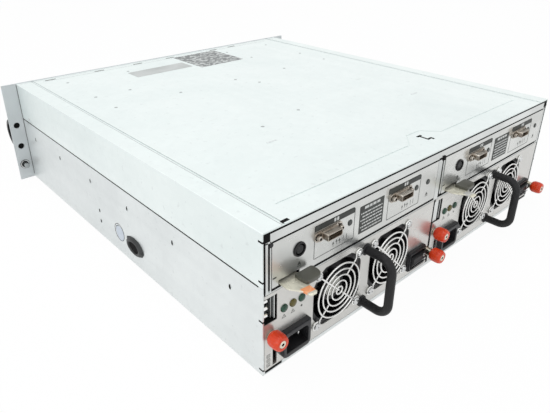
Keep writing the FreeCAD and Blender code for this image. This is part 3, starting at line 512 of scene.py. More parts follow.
# ---- finishes of the imported solids ----------------------------------------------------------
# The ear screws take the grey painted shade in place of their zinc.
NODE_FINISH = {"chassis_tray": TRAY, "top_cover": COVER, "rear_frame": FRAME_STEEL,
               "front_frame": EAR_PAINT, "ear_caps": CHARCOAL, "ear_screws": SHADE_GREY,
               "side_plug": CHARCOAL, "drive_cage": TRAY, "midplane_board": BOARD_GREEN}
ENDINGS = {"case": FACE_TIN, "board": BOARD_GREEN, "ports": SOCKET_METAL,
           "console_port": BLACK_PLASTIC, "lenses": LENS_DARK, "release_tab": TAB_STEEL,
           "fan_frames": FAN_PLASTIC, "rotor_a": FAN_PLASTIC, "rotor_b": FAN_PLASTIC,
           "fan_guards": CHROME, "handle": HANDLE_COAT, "inlet": BLACK_PLASTIC,
           "switch_frame": BLACK_PLASTIC, "rocker": BLACK_PLASTIC, "lights": LENS_GREEN,
           "thumbscrew_outer": KNOB_ORANGE, "thumbscrew_inner": KNOB_ORANGE}
for name, obj in NODES.items():
    if name in NODE_FINISH:
        skin = NODE_FINISH[name]
    elif name.startswith("drive_carrier"):
        skin = CARRIER_GREY
    elif name.startswith("power") and name.endswith("case"):
        skin = FACE_NICKEL
    else:
        skin = ENDINGS[name.split("_", 2)[2]]
    obj.data.materials.clear()
    obj.data.materials.append(skin)


# ---- power modules --------------------------------------------------------------------------
FAN_U, FAN_Z, SCREW_AT = (66.5, 137.0), 41.5, 25.0
WIRE_Y, EYE_R, HUB_R = 0.85, 3.9, 13.6
HANDLE_U, HANDLE_Z, HANDLE_OUT, BAR_R = 101.9, (10.0, 65.5), 28.3, 4.0


def screw_pattern(name, r, height):
    """Pan head with a round recess, pointing towards +Y from its seat at the origin."""
    bm = bmesh.new()
    dome = [(0, 0), (r, 0), (r, height * 0.35)]
    dome += [(r * math.cos(a), height * (0.35 + 0.65 * math.sin(a))) for a in (0.5, 0.9, 1.2)]
    dome += [(r * 0.22, height), (r * 0.14, height * 0.55), (0, height * 0.5)]
    add_lathe(bm, 0, 0, dome, 20)
    return pattern(name, bm)


SCREW = screw_pattern("screw_source", 3.2, 2.2)


def fan_guards(n, body, origin):
    """Wire guards over both fans: welded rings, four straight wires bent round the screws."""
    corner = Vector(origin)
    for tag, u in zip("ab", FAN_U):
        verts, edges = [], []
        for sx, sz in ((1, 1), (-1, 1), (-1, -1), (1, -1)):
            px, pz = u + sx * SCREW_AT, FAN_Z + sz * SCREW_AT
            line = ((10.2, WIRE_Y), (21.0, WIRE_Y))
            if sx == sz:
                line = ((2.6, 3.75), (18.6, 3.75), (21.6, 0.9))
            path = [(u + sx * q, y, FAN_Z + sz * q) for q, y in line]
            turn = math.atan2(-sz, -sx)
            for step in range(15):
                a = turn + math.radians(20 + 320 * step / 14)
                path.append((px + EYE_R * math.cos(a), WIRE_Y, pz + EYE_R * math.sin(a)))
            base = len(verts)
            verts += path
            edges += [(base + i, base + i + 1) for i in range(len(path) - 1)]
        host = bpy.data.meshes.new("wires")
        host.from_pydata([(Vector(v) + corner) * MM for v in verts], edges, [])
        values = {"Rings": 5, "Inner radius": 3.6 * MM, "Ring pitch": 5.45 * MM,
                  "Wire radius": 0.78 * MM, "Centre": list((corner + Vector((u, 2.3, FAN_Z))) * MM)}
        guard = grown("power_%d_fan_guard_%s" % (n, tag), host, FINGER_GUARD, values, WIRE,
                      body, 60)
        if tag == "a":
            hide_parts("power_%d_fan_guards" % n)
        spots = [corner + Vector((u + sx * SCREW_AT, 1.5, FAN_Z + sz * SCREW_AT))
                 for sx in (-1, 1) for sz in (-1, 1)]
        on_marks("power_%d_guard_screws_%s" % (n, tag), SCREW, spots, ZINC, body)


def fan_rotor(n, tag, u, origin):
    """Hub cup and seven twisted blades."""
    body = "power_%d_rotor_%s" % (n, tag)
    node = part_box(body)
    y0, y1 = node[0].y / MM - origin[1], node[1].y / MM - origin[1]
    bm = bmesh.new()
    add_lathe(bm, u, FAN_Z, [(1.6, y0), (HUB_R, y0), (HUB_R, y1 - 1.4), (13.2, y1 - 0.4),
                             (12.7, y1), (1.6, y1)], 48)
    blades, root, blade_tip, thick, rows, cols = 7, 12.8, 27.6, 0.9, 7, 5
    for k in range(blades):
        shell = []
        for i in range(rows):
            out = i / (rows - 1)
            r = root + (blade_tip - root) * out
            pitch = math.radians(44 - 16 * out)
            line = []
            for j in range(cols):
                s = (j / (cols - 1) - 0.5) * (15.5 + 3.0 * out)
                camber = 1.3 * (1 - (2 * j / (cols - 1) - 1) ** 2)
                along, rise = s * math.cos(pitch), s * math.sin(pitch) + camber
                a = 2 * math.pi * k / blades + along / r + 0.10 * out ** 2
                y = min(max((y0 + y1) / 2 + rise, y0 + 0.4), y1 - 1.4)
                line.append((u + r * math.cos(a), y, FAN_Z + r * math.sin(a)))
            line += [(x, y + thick, z) for x, y, z in reversed(line)]
            shell.append([bm.verts.new(p) for p in line])
        for a, b in zip(shell, shell[1:]):
            for i in range(2 * cols):
                j = (i + 1) % (2 * cols)
                bm.faces.new((a[i], a[j], b[j], b[i]))
        for j in range(cols - 1):
            for end, step in ((shell[0], 1), (shell[-1], -1)):
                bm.faces.new((end[j], end[-1 - j], end[-2 - j], end[j + 1])[::step])
    obj = piece("power_%d_fan_blades_%s" % (n, tag), bm, FAN_PLASTIC, body, origin, "fan_black")
    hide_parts("power_%d_rotor_%s" % (n, tag))
    # Silver hub label, with painted glints in its colour.
    bm = bmesh.new()
    add_lathe(bm, u, FAN_Z, [(0, y1 - 0.2), (9.1, y1 - 0.2), (9.1, y1 + 0.06), (0, y1 + 0.06)], 48)
    piece("power_%d_hub_label_%s" % (n, tag), bm, HUB_SILVER_PAINTED_GLINTS, body, origin)


def pull_handle(n, body, origin):
    """Round bar bent twice, with a flanged boss at each foot."""
    bm = bmesh.new()
    (lo, hi), bend, x = HANDLE_Z, 12.0, HANDLE_U
    rise = corner_arc(HANDLE_OUT - bend, lo + bend, bend, -90, 12)
    fall = corner_arc(HANDLE_OUT - bend, hi - bend, bend, 0, 12)
    add_tube(bm, [(x, y, z) for y, z in [(0.2, lo)] + rise + fall + [(0.2, hi)]], BAR_R, 28)
    for z in (lo, hi):
        add_lathe(bm, x, z, [(0, 0), (5.6, 0), (5.6, 0.8), (5.0, 1.4), (4.0, 1.8), (0, 1.8)], 36)
    obj = piece("power_%d_pull_handle" % n, bm, HANDLE_COAT, body, origin, "handle_black", 40)
    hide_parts("power_%d_handle" % n)


def power_inlet(n, body, origin):
    """Bezel with rounded lower corners, keyed recess and three flat blades."""
    x, z = 187.5, 21.1
    bm = bmesh.new()
    outer = rounded_outline(x, z, 31.0, 25.8, (1.0, 1.0, 5.0, 5.0))
    lip = rounded_outline(x, z, 29.6, 24.4, (0.8, 0.8, 4.5, 4.5))
    well = rounded_outline(x, z + 0.2, 24.0, 16.6, (4.0, 4.0, 0.8, 0.8))
    add_ring(bm, outer, well, 0, 4.2)
    add_ring(bm, lip, well, 4.2, 5.0)
    add_ring(bm, rounded_outline(x, z, 26.6, 21.4, (1.0, 1.0, 2.0, 2.0)), well, -13.0, 0.0)
    floor = rounded_outline(x, z, 25.5, 20.5, (1.0, 1.0, 1.0, 1.0))
    add_prism(bm, floor, -13.6, -10.2)
    soften(bm, 0.25)
    obj = piece("power_%d_inlet_shell" % n, bm, INLET_BLACK, body, origin, "black_plastic")
    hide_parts("power_%d_inlet" % n)
    bm = bmesh.new()
    for dx, dz in ((-7, -2), (7, -2), (0, 2.2)):
        add_box(bm, x + dx - 1, x + dx + 1, -10.4, -1.0, z + dz - 2, z + dz + 2)
    soften(bm, 0.3)
    piece("power_%d_inlet_blades" % n, bm, CHROME, body, origin, "wire_chrome")


def power_switch(n, body, origin):
    """Switch frame with a stepped foot, and the V-shaped rocker with its ribs."""
    x, z = 22.0, 20.6
    bm = bmesh.new()
    outer = rounded_outline(x, z, 28.0, 21.4, (1.2, 1.2, 2.4, 2.4))
    rim = rounded_outline(x, z, 26.0, 19.4, (1.0, 1.0, 1.8, 1.8))
    well = rounded_outline(x, z, 22.2, 15.6, (0.6,) * 4)
    add_ring(bm, outer, well, 0, 2.9)
    add_ring(bm, rim, well, 2.9, 4.0)
    add_ring(bm, rounded_outline(x, z, 24.6, 18.0, (0.8,) * 4), well, -12.4, 0)
    add_prism(bm, rounded_outline(x, z, 24.0, 17.0, (0.8,) * 4), -16.0, -12.2)
    soften(bm, 0.22)
    obj = piece("power_%d_switch_surround" % n, bm, BLACK_PLASTIC, body, origin, "black_plastic")
    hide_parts("power_%d_switch_frame" % n)
    node = "power_%d_rocker" % n
    (x0, y0, z0), (x1, y1, z1) = (v / MM - Vector(origin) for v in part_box(node))
    bm = bmesh.new()
    add_section(bm, [(y0, z - 3), (y0 + 3, z0 + 1.2), (4.6, z0 + 0.6), (y1 - 0.6, z - 1.0),
                     (y1, z - 0.2), (y1 - 0.5, z + 1.0), (7.0, z1 - 0.9), (y0 + 3, z1 - 0.6),
                     (y0, z + 3)], x0, x1)
    soften(bm, 0.35)
    obj = piece("power_%d_rocker_cap" % n, bm, BLACK_PLASTIC, node, origin, "black_plastic")
    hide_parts(node)
    bm = bmesh.new()
    add_box(bm, -0.28, 0.28, 0, 0.5, -2.6, 2.6)
    turned(bm, -32, "X")
    soften(bm, 0.12)
    rib = pattern("rocker_rib_source", bm)
    in_a_row("power_%d_rocker_ribs" % n, rib, 11,
             (origin[0] + x0 + 2.0, origin[1] + 6.1, z - 4.4), ((x1 - x0 - 4.0) / 10, 0, 0),
             BLACK_PLASTIC, node)
    bm = bmesh.new()
    add_ring(bm, circle_outline(x - 5.5, z + 4.0, 1.7), circle_outline(x - 5.5, z + 4.0, 1.25),
             7.25, 7.45)
    piece("power_%d_rocker_off_mark" % n, bm, INK_PALE, node, origin)


def thumbscrew(n, which, u, z, stand, origin):
    """Fluted grip, nickel collar and recessed nickel tip, with a black cross of painted shade in
    the tip's recess.
    """
    body = "power_%d_thumbscrew_%s" % (n, which)
    profile = [(0, 0), (4.7, 0), (5.4, 0.5), (6.5, 1.9), (6.9, 3.4), (6.95, 8.6), (6.7, 10.2),
               (6.0, 12.0), (5.6, 12.4), (5.1, 12.5), (3.5, 12.5), (3.3, 11.6), (0, 11.6)]

    def flute(r, y, a):
        return r - 0.2 * max(0.0, math.cos(18 * a)) ** 3 * (1 if r > 6.2 else 0)

    bm = bmesh.new()
    add_lathe(bm, u, z, [(r, y + stand) for r, y in profile], 108, flute)
    grip = piece(body + "_grip", bm, KNOB_ORANGE, body, origin, "knob_orange", 24)
    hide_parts(body)
    bm = bmesh.new()
    tip = stand + 12.15
    add_lathe(bm, u, z, [(0, tip - 2), (3.35, tip - 2), (3.35, tip), (3.0, tip + 0.3),
                         (0, tip + 0.3)], 40)
    add_lathe(bm, u, z, [(0, -9.5), (2.3, -9.0), (2.45, -8), (2.45, 0.3), (4.0, 0.3),
                         (4.2, 0.6), (4.2, stand + 0.2), (0, stand + 0.2)], 36)
    if stand > 4:
        add_lathe(bm, u, z, [(0, 0.3), (4.2, 0.3), (4.4, 0.8), (4.4, 2.6), (4.0, 3.0), (0, 3.0)], 6)
    piece(body + "_insert", bm, KNOB_METAL, body, origin, "screw_zinc")
    # Painted shade: a black cross stands for the shade of the tip's recess.
    bm = bmesh.new()
    for w, h in ((1.3, 0.6), (0.6, 1.3)):
        add_box(bm, u - w, u + w, tip, tip + 0.36, z - h, z + h)
    piece(body + "_cross", bm, SHADOW_GAP, body, origin)


def power_lights(n, body, origin):
    """Three domed indicator lenses over their printed marks."""
    spots = ((198.4, LENS_GREEN, "a"), (189.0, LENS_AMBER, "b"), (179.5, LENS_GREEN, "c"))
    for k, (u, skin, tag) in enumerate(spots):
        bm = bmesh.new()
        dome = [(0, -5), (2.4, -5), (2.4, 0.1), (3.5, 0.1), (3.5, 0.5)]
        dome += [(3.5 * math.cos(a), 0.5 + 1.3 * math.sin(a)) for a in (0.35, 0.7, 1.05, 1.3)]
        add_lathe(bm, u, 55.3, dome + [(0, 1.8)], 36)
        lens = piece("power_%d_light_%s" % (n, tag), bm, skin, body, origin, "lens_green", 50)
        if k == 0:
            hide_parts("power_%d_lights" % n)


def print_marks(n, body, origin):
    """Printed symbols under the indicators and the small symbol by the slot."""
    bm = bmesh.new()
    up = 0.05
    for u in (198.4, 189.0):
        tri = [(u - 2.2, 46.0), (u + 2.2, 46.0), (u, 49.6)]
        inner = [(u - 1.5, 46.4), (u + 1.5, 46.4), (u, 48.9)]
        add_ring(bm, tri, inner, 0, up)
        add_box(bm, u - 0.2, u + 0.2, 0, up, 46.9, 48.1)
    add_prism(bm, circle_outline(179.5, 47.6, 1.0, 20), 0, up)
    for z in (8.0, 12.5, 17.0):
        add_ring(bm, rounded_outline(214.4, z, 3.6, 3.4, (0.4,) * 4, 2),
                 rounded_outline(214.4, z, 2.8, 2.6, (0.2,) * 4, 2), 0, up)
    for z in (7.4, 8.4, 12.0, 13.0, 16.5, 17.5):
        add_box(bm, 213.4, 215.4, 0, up, z - 0.15, z + 0.15)
    for u in (45.0, 47.2):
        for z in (13.0, 15.0, 17.0):
            add_box(bm, u - 0.5, u + 0.5, 0, up, z - 0.5, z + 0.5)
    piece("power_%d_printed_marks" % n, bm, INK_AND_SHADE_DARK, body, origin)


def contact_recess(n, body, origin):
    """Black lining painted as the recess's shade, the wavy contact spring in it and the bright bars
    beside it.
    """
    # Painted shade: a black lining darkens the floor and walls of the recess.
    bm = bmesh.new()
    x, z = 212.35, 61.0
    outer = rounded_outline(x, z, 13.2, 23.9, (0.3,) * 4, 2)
    inner = rounded_outline(x, z, 12.8, 23.5, (0.3,) * 4, 2)
    add_ring(bm, outer, inner, -8.95, -0.5)
    add_prism(bm, inner, -8.95, -8.3)
    piece("power_%d_recess_lining" % n, bm, SHADOW_GAP, body, origin)
    bm = bmesh.new()
    hump = ((0.0, -8.3), (0.7, -8.1), (1.4, -7.0), (2.1, -4.4), (2.7, -3.1), (3.6, -2.4),
            (4.6, -2.4), (5.4, -3.1), (5.9, -4.4), (6.4, -7.0))
    wave = [(y, 51.1 + 6.8 * k + dz) for k in range(3) for dz, y in hump]
    wave += [(-8.2, 71.5), (-8.3, 72.6)]
    add_section(bm, wave + [(y + 0.8, z) for y, z in reversed(wave)], 213.9, 218.6)
    piece("power_%d_contact_spring" % n, bm, CHROME, body, origin, "zinc_sheet", 50)
    bm = bmesh.new()
    add_box(bm, 207.3, 208.1, -8.2, -1.0, 50.6, 72.4)
    add_box(bm, 209.4, 209.9, -8.2, -3.0, 50.6, 72.4)
    if n == 2:
        add_box(bm, 211.0, 218.7, -1.9, -1.1, 49.4, 72.6)
    piece("power_%d_recess_ribs" % n, bm, FRAME_STEEL, body, origin, "zinc_sheet")


def power_module(n):
    body = "power_%d_module" % n
    origin = (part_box("power_%d_case" % n)[0].x / MM, REAR, 0.0)
    fan_guards(n, body, origin)
    fan_rotor(n, "a", FAN_U[1], origin)
    fan_rotor(n, "b", FAN_U[0], origin)
    pull_handle(n, body, origin)
    power_inlet(n, body, origin)
    power_switch(n, body, origin)
    power_lights(n, body, origin)
    print_marks(n, body, origin)
    contact_recess(n, body, origin)
    thumbscrew(n, "outer", 212.2, 37.0, 1.5, origin)
    thumbscrew(n, "inner", 3.5, 21.0, 7.5, origin)


# ---- I/O modules ----------------------------------------------------------------------------
PORT_U, PORT_Z = (57.5, 151.0), 105.0


def wide_sockets(n, body, origin):
    """Shielded sockets: flange, folded shell, insert with its slot, jack posts and screws, and
    black painted shade inside the sockets, in the screw holes and round the posts.
    """
    shell, insert, dark = bmesh.new(), bmesh.new(), bmesh.new()
    for x in PORT_U:
        z = PORT_Z
        w, h = 16.6, 6.0
        outer = rounded_outline(x, z, w, h, (0.9, 0.9, 0.9, 0.9), 4)
        inner = rounded_outline(x, z, w - 1.4, h - 1.4, (0.5, 0.5, 0.5, 0.5), 4)
        add_ring(shell, outer, inner, -10.5, 8.0)
        flange = rounded_outline(x, z - 0.3, 31.0, 8.8, (3.0,) * 4, 6)
        hole = rounded_outline(x, z, w - 0.2, h - 0.2, (0.9,) * 4, 6)
        add_ring(shell, flange, hole, 0.0, 1.3)
        add_ring(shell, rounded_outline(x, z, w + 2.2, h + 1.8, (1.3,) * 4, 6), hole, 1.3, 2.4)
        add_ring(insert, rounded_outline(x, z, w - 1.5, h - 1.5, (0.4,) * 4, 4),
                 rounded_outline(x, z, w - 3.0, 3.4, (0.3,) * 4, 4), -10.4, 2.6)
        # Painted shade: black box inside the socket.
        add_box(dark, x - 7.3, x + 7.3, -10.4, 1.2, z - 2.2, z + 2.2)
        add_box(insert, x - 5.6, x + 5.6, 1.0, 4.2, z - 0.45, z + 0.35)
        for s in (-1, 1):
            p = x + s * 12.4
            add_lathe(shell, p, z - 0.5, [(0, 1.2), (2.3, 1.2), (2.3, 4.0), (2.0, 4.5), (1.2, 4.5),
                                          (1.2, 2.6), (0, 2.6)], 6 if s < 0 else 24)
            # Painted shade in the post's screw hole and in a ring round the post.
            add_prism(dark, circle_outline(p, z - 0.5, 1.25, 20), 4.2, 4.56)
            add_ring(dark, circle_outline(p, z - 0.5, 2.9, 20), circle_outline(p, z - 0.5, 2.2, 20),
                     1.2, 1.42)
        # Painted shade: thin black lines beside the shell.
        add_box(dark, x - 11.2, x - 10.6, 1.3, 1.45, z - 4.2, z + 3.6)
        add_box(dark, x + 10.6, x + 11.2, 1.3, 1.45, z - 4.2, z + 1.0)
    soften(shell, 0.14)
    soften(insert, 0.12)
    obj = piece("io_%d_socket_shells" % n, shell, SOCKET_METAL, body, origin, "connector_metal")
    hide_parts("io_%d_ports" % n)
    piece("io_%d_socket_inserts" % n, insert, CREAM_INSERT, body, origin)
    piece("io_%d_socket_depths" % n, dark, SHADOW_GAP, body, origin)


def console_socket(n, body, origin):
    """Round service socket with a round insert and pin holes."""
    x, z = 181.7, 102.0
    bm = bmesh.new()
    add_lathe(bm, x, z, [(0, -13.5), (5.95, -13.5), (5.95, 0.1), (6.0, 0.9), (5.7, 1.35),
                         (5.0, 1.35), (4.75, 1.0), (4.7, -3.0), (0, -3.0)], 48)
    add_lathe(bm, x, z, [(0, -3.0), (3.8, -3.0), (3.8, 0.3), (3.5, 0.6), (0, 0.6)], 40)
    obj = piece("io_%d_service_socket" % n, bm, FAN_PLASTIC, body, origin, "black_plastic")
    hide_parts("io_%d_console_port" % n)
    bm = bmesh.new()
    for px, pz in ellipse(x, z, 2.5, 2.5, 6, 30):
        add_ring(bm, circle_outline(px, pz, 0.62, 12), circle_outline(px, pz, 0.40, 12), 0.55, 0.75)
    piece("io_%d_service_contacts" % n, bm, LENS_DARK, body, origin)


def release_tab(n, origin):
    """Tapered spring plate with rounded corners, a moulded pad and a rounded tip on its end, and a
    thumb pad on top.
    """
    body = "io_%d_release_tab" % n
    z = 80.6
    bm = bmesh.new()
    add_plate(bm, [(182.2, -12), (201.4, -12), (202.0, 7.5), (201.2, 10.2), (194.6, 19.6),
                   (194.3, 23.0), (187.3, 23.0), (186.9, 19.0), (183.0, 4.4), (182.2, 2.0)],
              z - 0.55, z + 0.55)
    soften(bm, 0.3)
    plate = piece("io_%d_tab_plate" % n, bm, TAB_STEEL, body, origin, "tab_nickel")
    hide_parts(body)
    for tag, skin, shape, t in (
            ("print", TAB_PAD if n == 1 else TAB_GREY,
             [(187.0, 16.6), (195.8, 15.4), (194.9, 21.9), (187.2, 22.9)], 1.0),
            ("tip", TAB_STEEL, [(187.1, 22.7), (194.8, 21.9), (194.6, 24.0), (193.4, 25.4),
                                (188.8, 25.6), (187.3, 24.6)], 0.8)):
        bm = bmesh.new()
        add_plate(bm, shape, z - t, z + t)
        soften(bm, 0.35, 2)
        piece("io_%d_tab_%s" % (n, tag), bm, skin, body, origin)
    bm = bmesh.new()
    rest = [(171.6, 2.3), (188.4, 2.3), (188.9, 9.0), (188.0, 14.2), (186.6, 15.6), (178.0, 15.9),
            (174.0, 15.0), (171.4, 12.8), (170.4, 9.6), (170.3, 4.0)]
    add_plate(bm, rest, z + 0.5, z + 3.6)
    soften(bm, 0.7, 4)
    piece("io_%d_thumb_pad" % n, bm, PAD_OLIVE, body, origin)


def io_printing(n, body, origin):
    """Printed panels round the sockets, slate label with a pale band, small plain symbols."""
    dark, pale = bmesh.new(), bmesh.new()
    up = 0.06
    for u0, u1, z0, z1 in ((119.0, 166.0, 85.0, 114.6), (27.0, 75.0, 84.0, 114.2)):
        x, z, w, h = (u0 + u1) / 2, (z0 + z1) / 2, u1 - u0, z1 - z0
        add_ring(dark, rounded_outline(x, z, w, h, (1.0, 2.6, 0.6, 0.6)),
                 rounded_outline(x, z, w - 1.1, h - 1.1, (0.6, 2.1, 0.3, 0.3)), 0, up)
        add_prism(dark, rounded_outline(x, z1 - 2.6, w, 5.2, (1.0, 2.6, 0.1, 0.1)), 0, up)
        for a in (-2.6, 0.6):
            add_prism(pale, rounded_outline(x + a, z1 - 2.6, 2.3, 3.4, (0.9,) * 4, 4), up,
                      up + 0.02)
        for dx, dz in ((-6, 0), (-2.5, 0.6), (1.5, -0.2)):
            a, b = x + dx, z0 + 5.0 + dz
            add_prism(dark, [(a - 1.2, b), (a + 1.2, b), (a, b + 2.2)], 0, up)
            add_box(dark, a - 0.2, a + 0.2, 0, up, b - 2.4, b)
        for dx in (9, 13):
            add_box(dark, x + dx - w / 2 - 0.2, x + dx - w / 2 + 0.2, 0, up, z0 + 3, z0 + 8)
    x, z = 97.0, 98.5
    add_prism(dark, rounded_outline(x, z, 32.0, 26.0, (0.6,) * 4, 3), 0, up)
    for a, b in ((-10.5, -6.2), (-5.2, -1.0), (0.0, 3.4), (4.3, 9.8)):
        add_box(pale, x + a, x + b, up, up + 0.02, z + 9.0, z + 11.4)
    for k in range(6):
        at, step = x - 14.0, 0
        while at < x + 13.0 - 2.0 * (k % 2):
            wide = 1.3 + 0.9 * ((3 * step + 5 * k) % 4)
            add_box(pale, at, min(at + wide, x + 14.4), up, up + 0.02, z + 4.9 - 3.2 * k,
                    z + 6.1 - 3.2 * k)
            at += wide + 0.7
            step += 1
    for u in (181.7, 14.5):
        add_prism(dark, [(u - 2.0, 88.2), (u + 2.0, 88.2), (u, 91.4)], 0, up)
        add_box(dark, u - 2.2, u + 2.2, 0, up, 86.9, 87.4)
    add_box(dark, 204.6, 208.4, 0, up, 87.2, 88.5)
    piece("io_%d_printing" % n, dark, INK_AND_SHADE_DARK, body, origin)
    piece("io_%d_pale_printing" % n, pale, INK_PALE, body, origin)


def io_module(n):
    body = "io_%d_module" % n
    origin = (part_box("io_%d_case" % n)[0].x / MM, REAR, 0.0)
    wide_sockets(n, body, origin)
    console_socket(n, body, origin)
    release_tab(n, origin)
    io_printing(n, body, origin)


for number in (1, 2):
    power_module(number)
    io_module(number)


# ---- chassis dressing -----------------------------------------------------------------------
def seam_strip():
    """Black strip of painted shade over the gap between tray and cover, on both sides."""
    bm = bmesh.new()
    for x0, x1 in both_sides(SIDE - 1.35, SIDE + 0.04):
        add_box(bm, x0, x1, FRONT + 2.4, REAR - 4.8, *SEAM_Z)
    piece("seam_strip", bm, SHADOW_GAP, "chassis")


def module_frame():
    """Joggled top bar, folded post, divider, shelf and partitions of the module side."""
    bm = bmesh.new()
    t, wall, inner, deep = 1.2, 221.6, 220.2, REAR - 252
    shelf, shelf_top, head = 77.2, 78.4, 120.7
    section = [(0, 119.6), (0, 127.4), (-4, 127.4), (-4, 128.4), (-14, 128.4), (-14, 127.2),
               (-5.2, 127.2), (-5.2, 126.2), (-t, 126.2), (-t, 120.8), (-14, 120.8), (-14, 119.6)]
    add_section(bm, [(REAR + y, z) for y, z in section], -wall, wall)
    post = [(214.7, 0), (214.7, -5), (inner, -5), (inner, 0), (217.8, 0), (217.8, -3.8),
            (215.9, -3.8), (215.9, 0)]
    add_plate(bm, [(x, REAR + y) for x, y in post], shelf, head)
    add_box(bm, -inner, -217.4, REAR - t, REAR, shelf, head)
    add_box(bm, -2.0, 4.6, REAR - t, REAR, shelf, head)
    add_box(bm, -inner, inner, deep, REAR - t / 2, shelf, shelf_top)
    add_box(bm, -inner, inner, REAR - 1.4, REAR - 0.2, 76.1, 77.4)
    add_box(bm, -7.6, -4.5, REAR - 9, REAR - 0.6, shelf_top, head)
    for z0, z1 in ((3.7, 77.3), (78.3, 126.7)):
        add_box(bm, 1.6, 2.8, deep, REAR - t / 2, z0, z1)
    obj = piece("module_side_frame", bm, FRAME_STEEL, "chassis", slot="frame_steel")
    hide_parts("rear_frame")


def rear_gaps():
    """Darkness behind the gaps of the module side: round the bars, posts and module rows."""
    bm = bmesh.new()

    def dark(x0, x1, z0, z1, back, front):
        add_box(bm, x0, x1, REAR - back, REAR - front, z0, z1)

    dark(-221.4, 221.4, 127.1, 128.75, 3.9, -0.03)
    dark(-214.2, 214.2, 118.5, 120.0, 4.0, -0.03)
    for x0, x1 in ((-213.0, -2.2), (4.8, 214.2)):
        dark(x0, x1, 77.3, 79.55, 6.0, 0.05)
        dark(x0, x1, 75.95, 76.15, 6.0, 1.0)
    dark(-4.6, -2.0, 79.6, 119.4, 8.0, 0.3)
    dark(-0.3, 1.8, 4.0, 75.9, 8.0, 0.6)
    dark(-4.8, -1.2, 117.0, 121.5, 1.0, -0.9)
    for a, b, z0, z1, back, front in (
            (220.1, 222.0, 78.6, 121.3, 5.0, -0.04), (215.9, 221.0, 120.9, 126.8, 2.4, 1.3),
            (203.2, 220.8, 1.2, 3.6, 3.0, -0.05), (214.1, 214.6, 79.6, 119.4, 4.0, 1.5)):
        for x0, x1 in both_sides(a, b):
            dark(x0, x1, z0, z1, back, front)
    # Painted shade: black prints stand for notches in the walls' rear edges.
    for x0, x1 in both_sides(SIDE - 1.15, SIDE + 0.05):
        for z in (4.2, 52.0, 88.0, 121.8):
            dark(x0, x1, z, z + 1.6, 4.5, -0.05)
    dark(215.95, 217.75, 78.6, 119.4, 3.7, 0.5)
    for x0 in (-222.0, 215.8):
        dark(x0, x0 + 6.2, 121.2, 128.8, 2.0, -0.12)
    piece("rear_gap_shadows", bm, SHADOW_GAP, "chassis")
    bm = bmesh.new()
    add_lathe(bm, 214.9, 117.4, [(0, REAR - 0.5), (1.8, REAR - 0.5), (1.8, REAR + 0.5),
                                 (1.3, REAR + 0.9), (0, REAR + 1.0)], 24)
    piece("rear_corner_stud", bm, BLACK_PLASTIC, "chassis")


def side_fittings():
    """Rail hole collars, screw, black dots of painted shade in the small holes and rail holes, dark
    eyelet with its disc set off centre so a crescent of painted shade shows, and the moulded plug
    with painted shade in its middle.
    """
    bm = bmesh.new()
    add_ring(bm, circle_outline(0, 0, 2.3, 24), circle_outline(0, 0, 1.5, 24), 0, 0.25)
    turned(bm, -90, "Z")
    collar = pattern("collar_source", bm)
    ys = (-443.8, -366.2, -284.7, -203.0, -120.9, -38.5)
    on_marks("rail_hole_collars", collar, [(SIDE, REAR + y, RAIL_Z) for y in ys], TRAY, "chassis")
    bm = bmesh.new()
    add_lathe(bm, 0, 0, [(0, 0), (1.7, 0), (1.7, 0.15), (1.2, 0.45), (0, 0.55)], 20)
    turned(bm, -90, "Z")
    rivet = pattern("rivet_source", bm)
    on_marks("side_screw", rivet, [(SIDE, REAR - 454.0, 89.3)], ZINC, "chassis")
    # Painted shade: black dots stand for the small holes and the rail holes.
    spots = [(SIDE - 0.3, REAR - 271.5, z + dz) for z in (19.7, 32.9) for dz in (-0.7, 0.7)]
    spots += [(SIDE - 0.2, REAR + y, RAIL_Z + dz) for y in ys for dz in (-1.0, 0.0, 1.0)]
    on_marks("side_small_holes", rivet, spots, SHADOW_GAP, "chassis")

    def turned_shape(name, skin, centre, radii, rows, sides, start=0, endless=False, **look):
        """Skins ellipses of (share of the radii, x) about a line along X."""
        (y, z), (ry, rz) = centre, radii
        drawn = bmesh.new()
        add_loops(drawn, [[(x, a, b) for a, b in ellipse(y, z, q * ry, q * rz, sides, start)]
                          for q, x in rows], endless)
        return piece(name, drawn, skin, "chassis", **look)

    # Dark eyelet, with the disc set off centre so a crescent of painted shade shows at one side.
    y, z, r = REAR - 227.6, 25.5, 8.0
    turned_shape("side_hole_eyelet", INK_AND_SHADE_DARK, (y, z), (1, 1),
                 ((r + 2.2, SIDE), (r + 2.1, SIDE + 0.2), (r + 1.6, SIDE + 0.2),
                  (r + 1.5, SIDE - 0.1), (r, SIDE - 1.3)), 40, endless=True)
    turned_shape("side_hole_inner_disc", BLUE_PLATE, (y + 1.1, z - 0.9), (r + 0.6, r + 0.6),
                 ((1, SIDE - 0.4), (1, SIDE + 0.12)), 40)
    low, high = (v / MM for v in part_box("side_plug"))
    out = high.x - SIDE
    centre = (low.y + high.y) / 2 + 1.0, (low.z + high.z) / 2 - 0.2
    radii = (high.y - low.y) * 0.47, (high.z - low.z) * 0.46
    rows = [(q, SIDE + x * out) for q, x in ((0.6, -0.5), (1.0, -0.1), (1.0, 0.15), (0.86, 0.75),
                                             (0.70, 1.0), (0.60, 0.9), (0.56, 0.45))]
    plug = turned_shape("moulded_side_plug", CHARCOAL, centre, radii, rows, 14, 12,
                        slot="black_plastic", crisp=18)
    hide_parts("side_plug")
    # Painted shade in the plug's middle recess.
    turned_shape("side_plug_middle", SHADOW_GAP, centre, radii,
                 ((0.52, SIDE + 0.3 * out), (0.52, SIDE + 0.62 * out)), 14, 12)


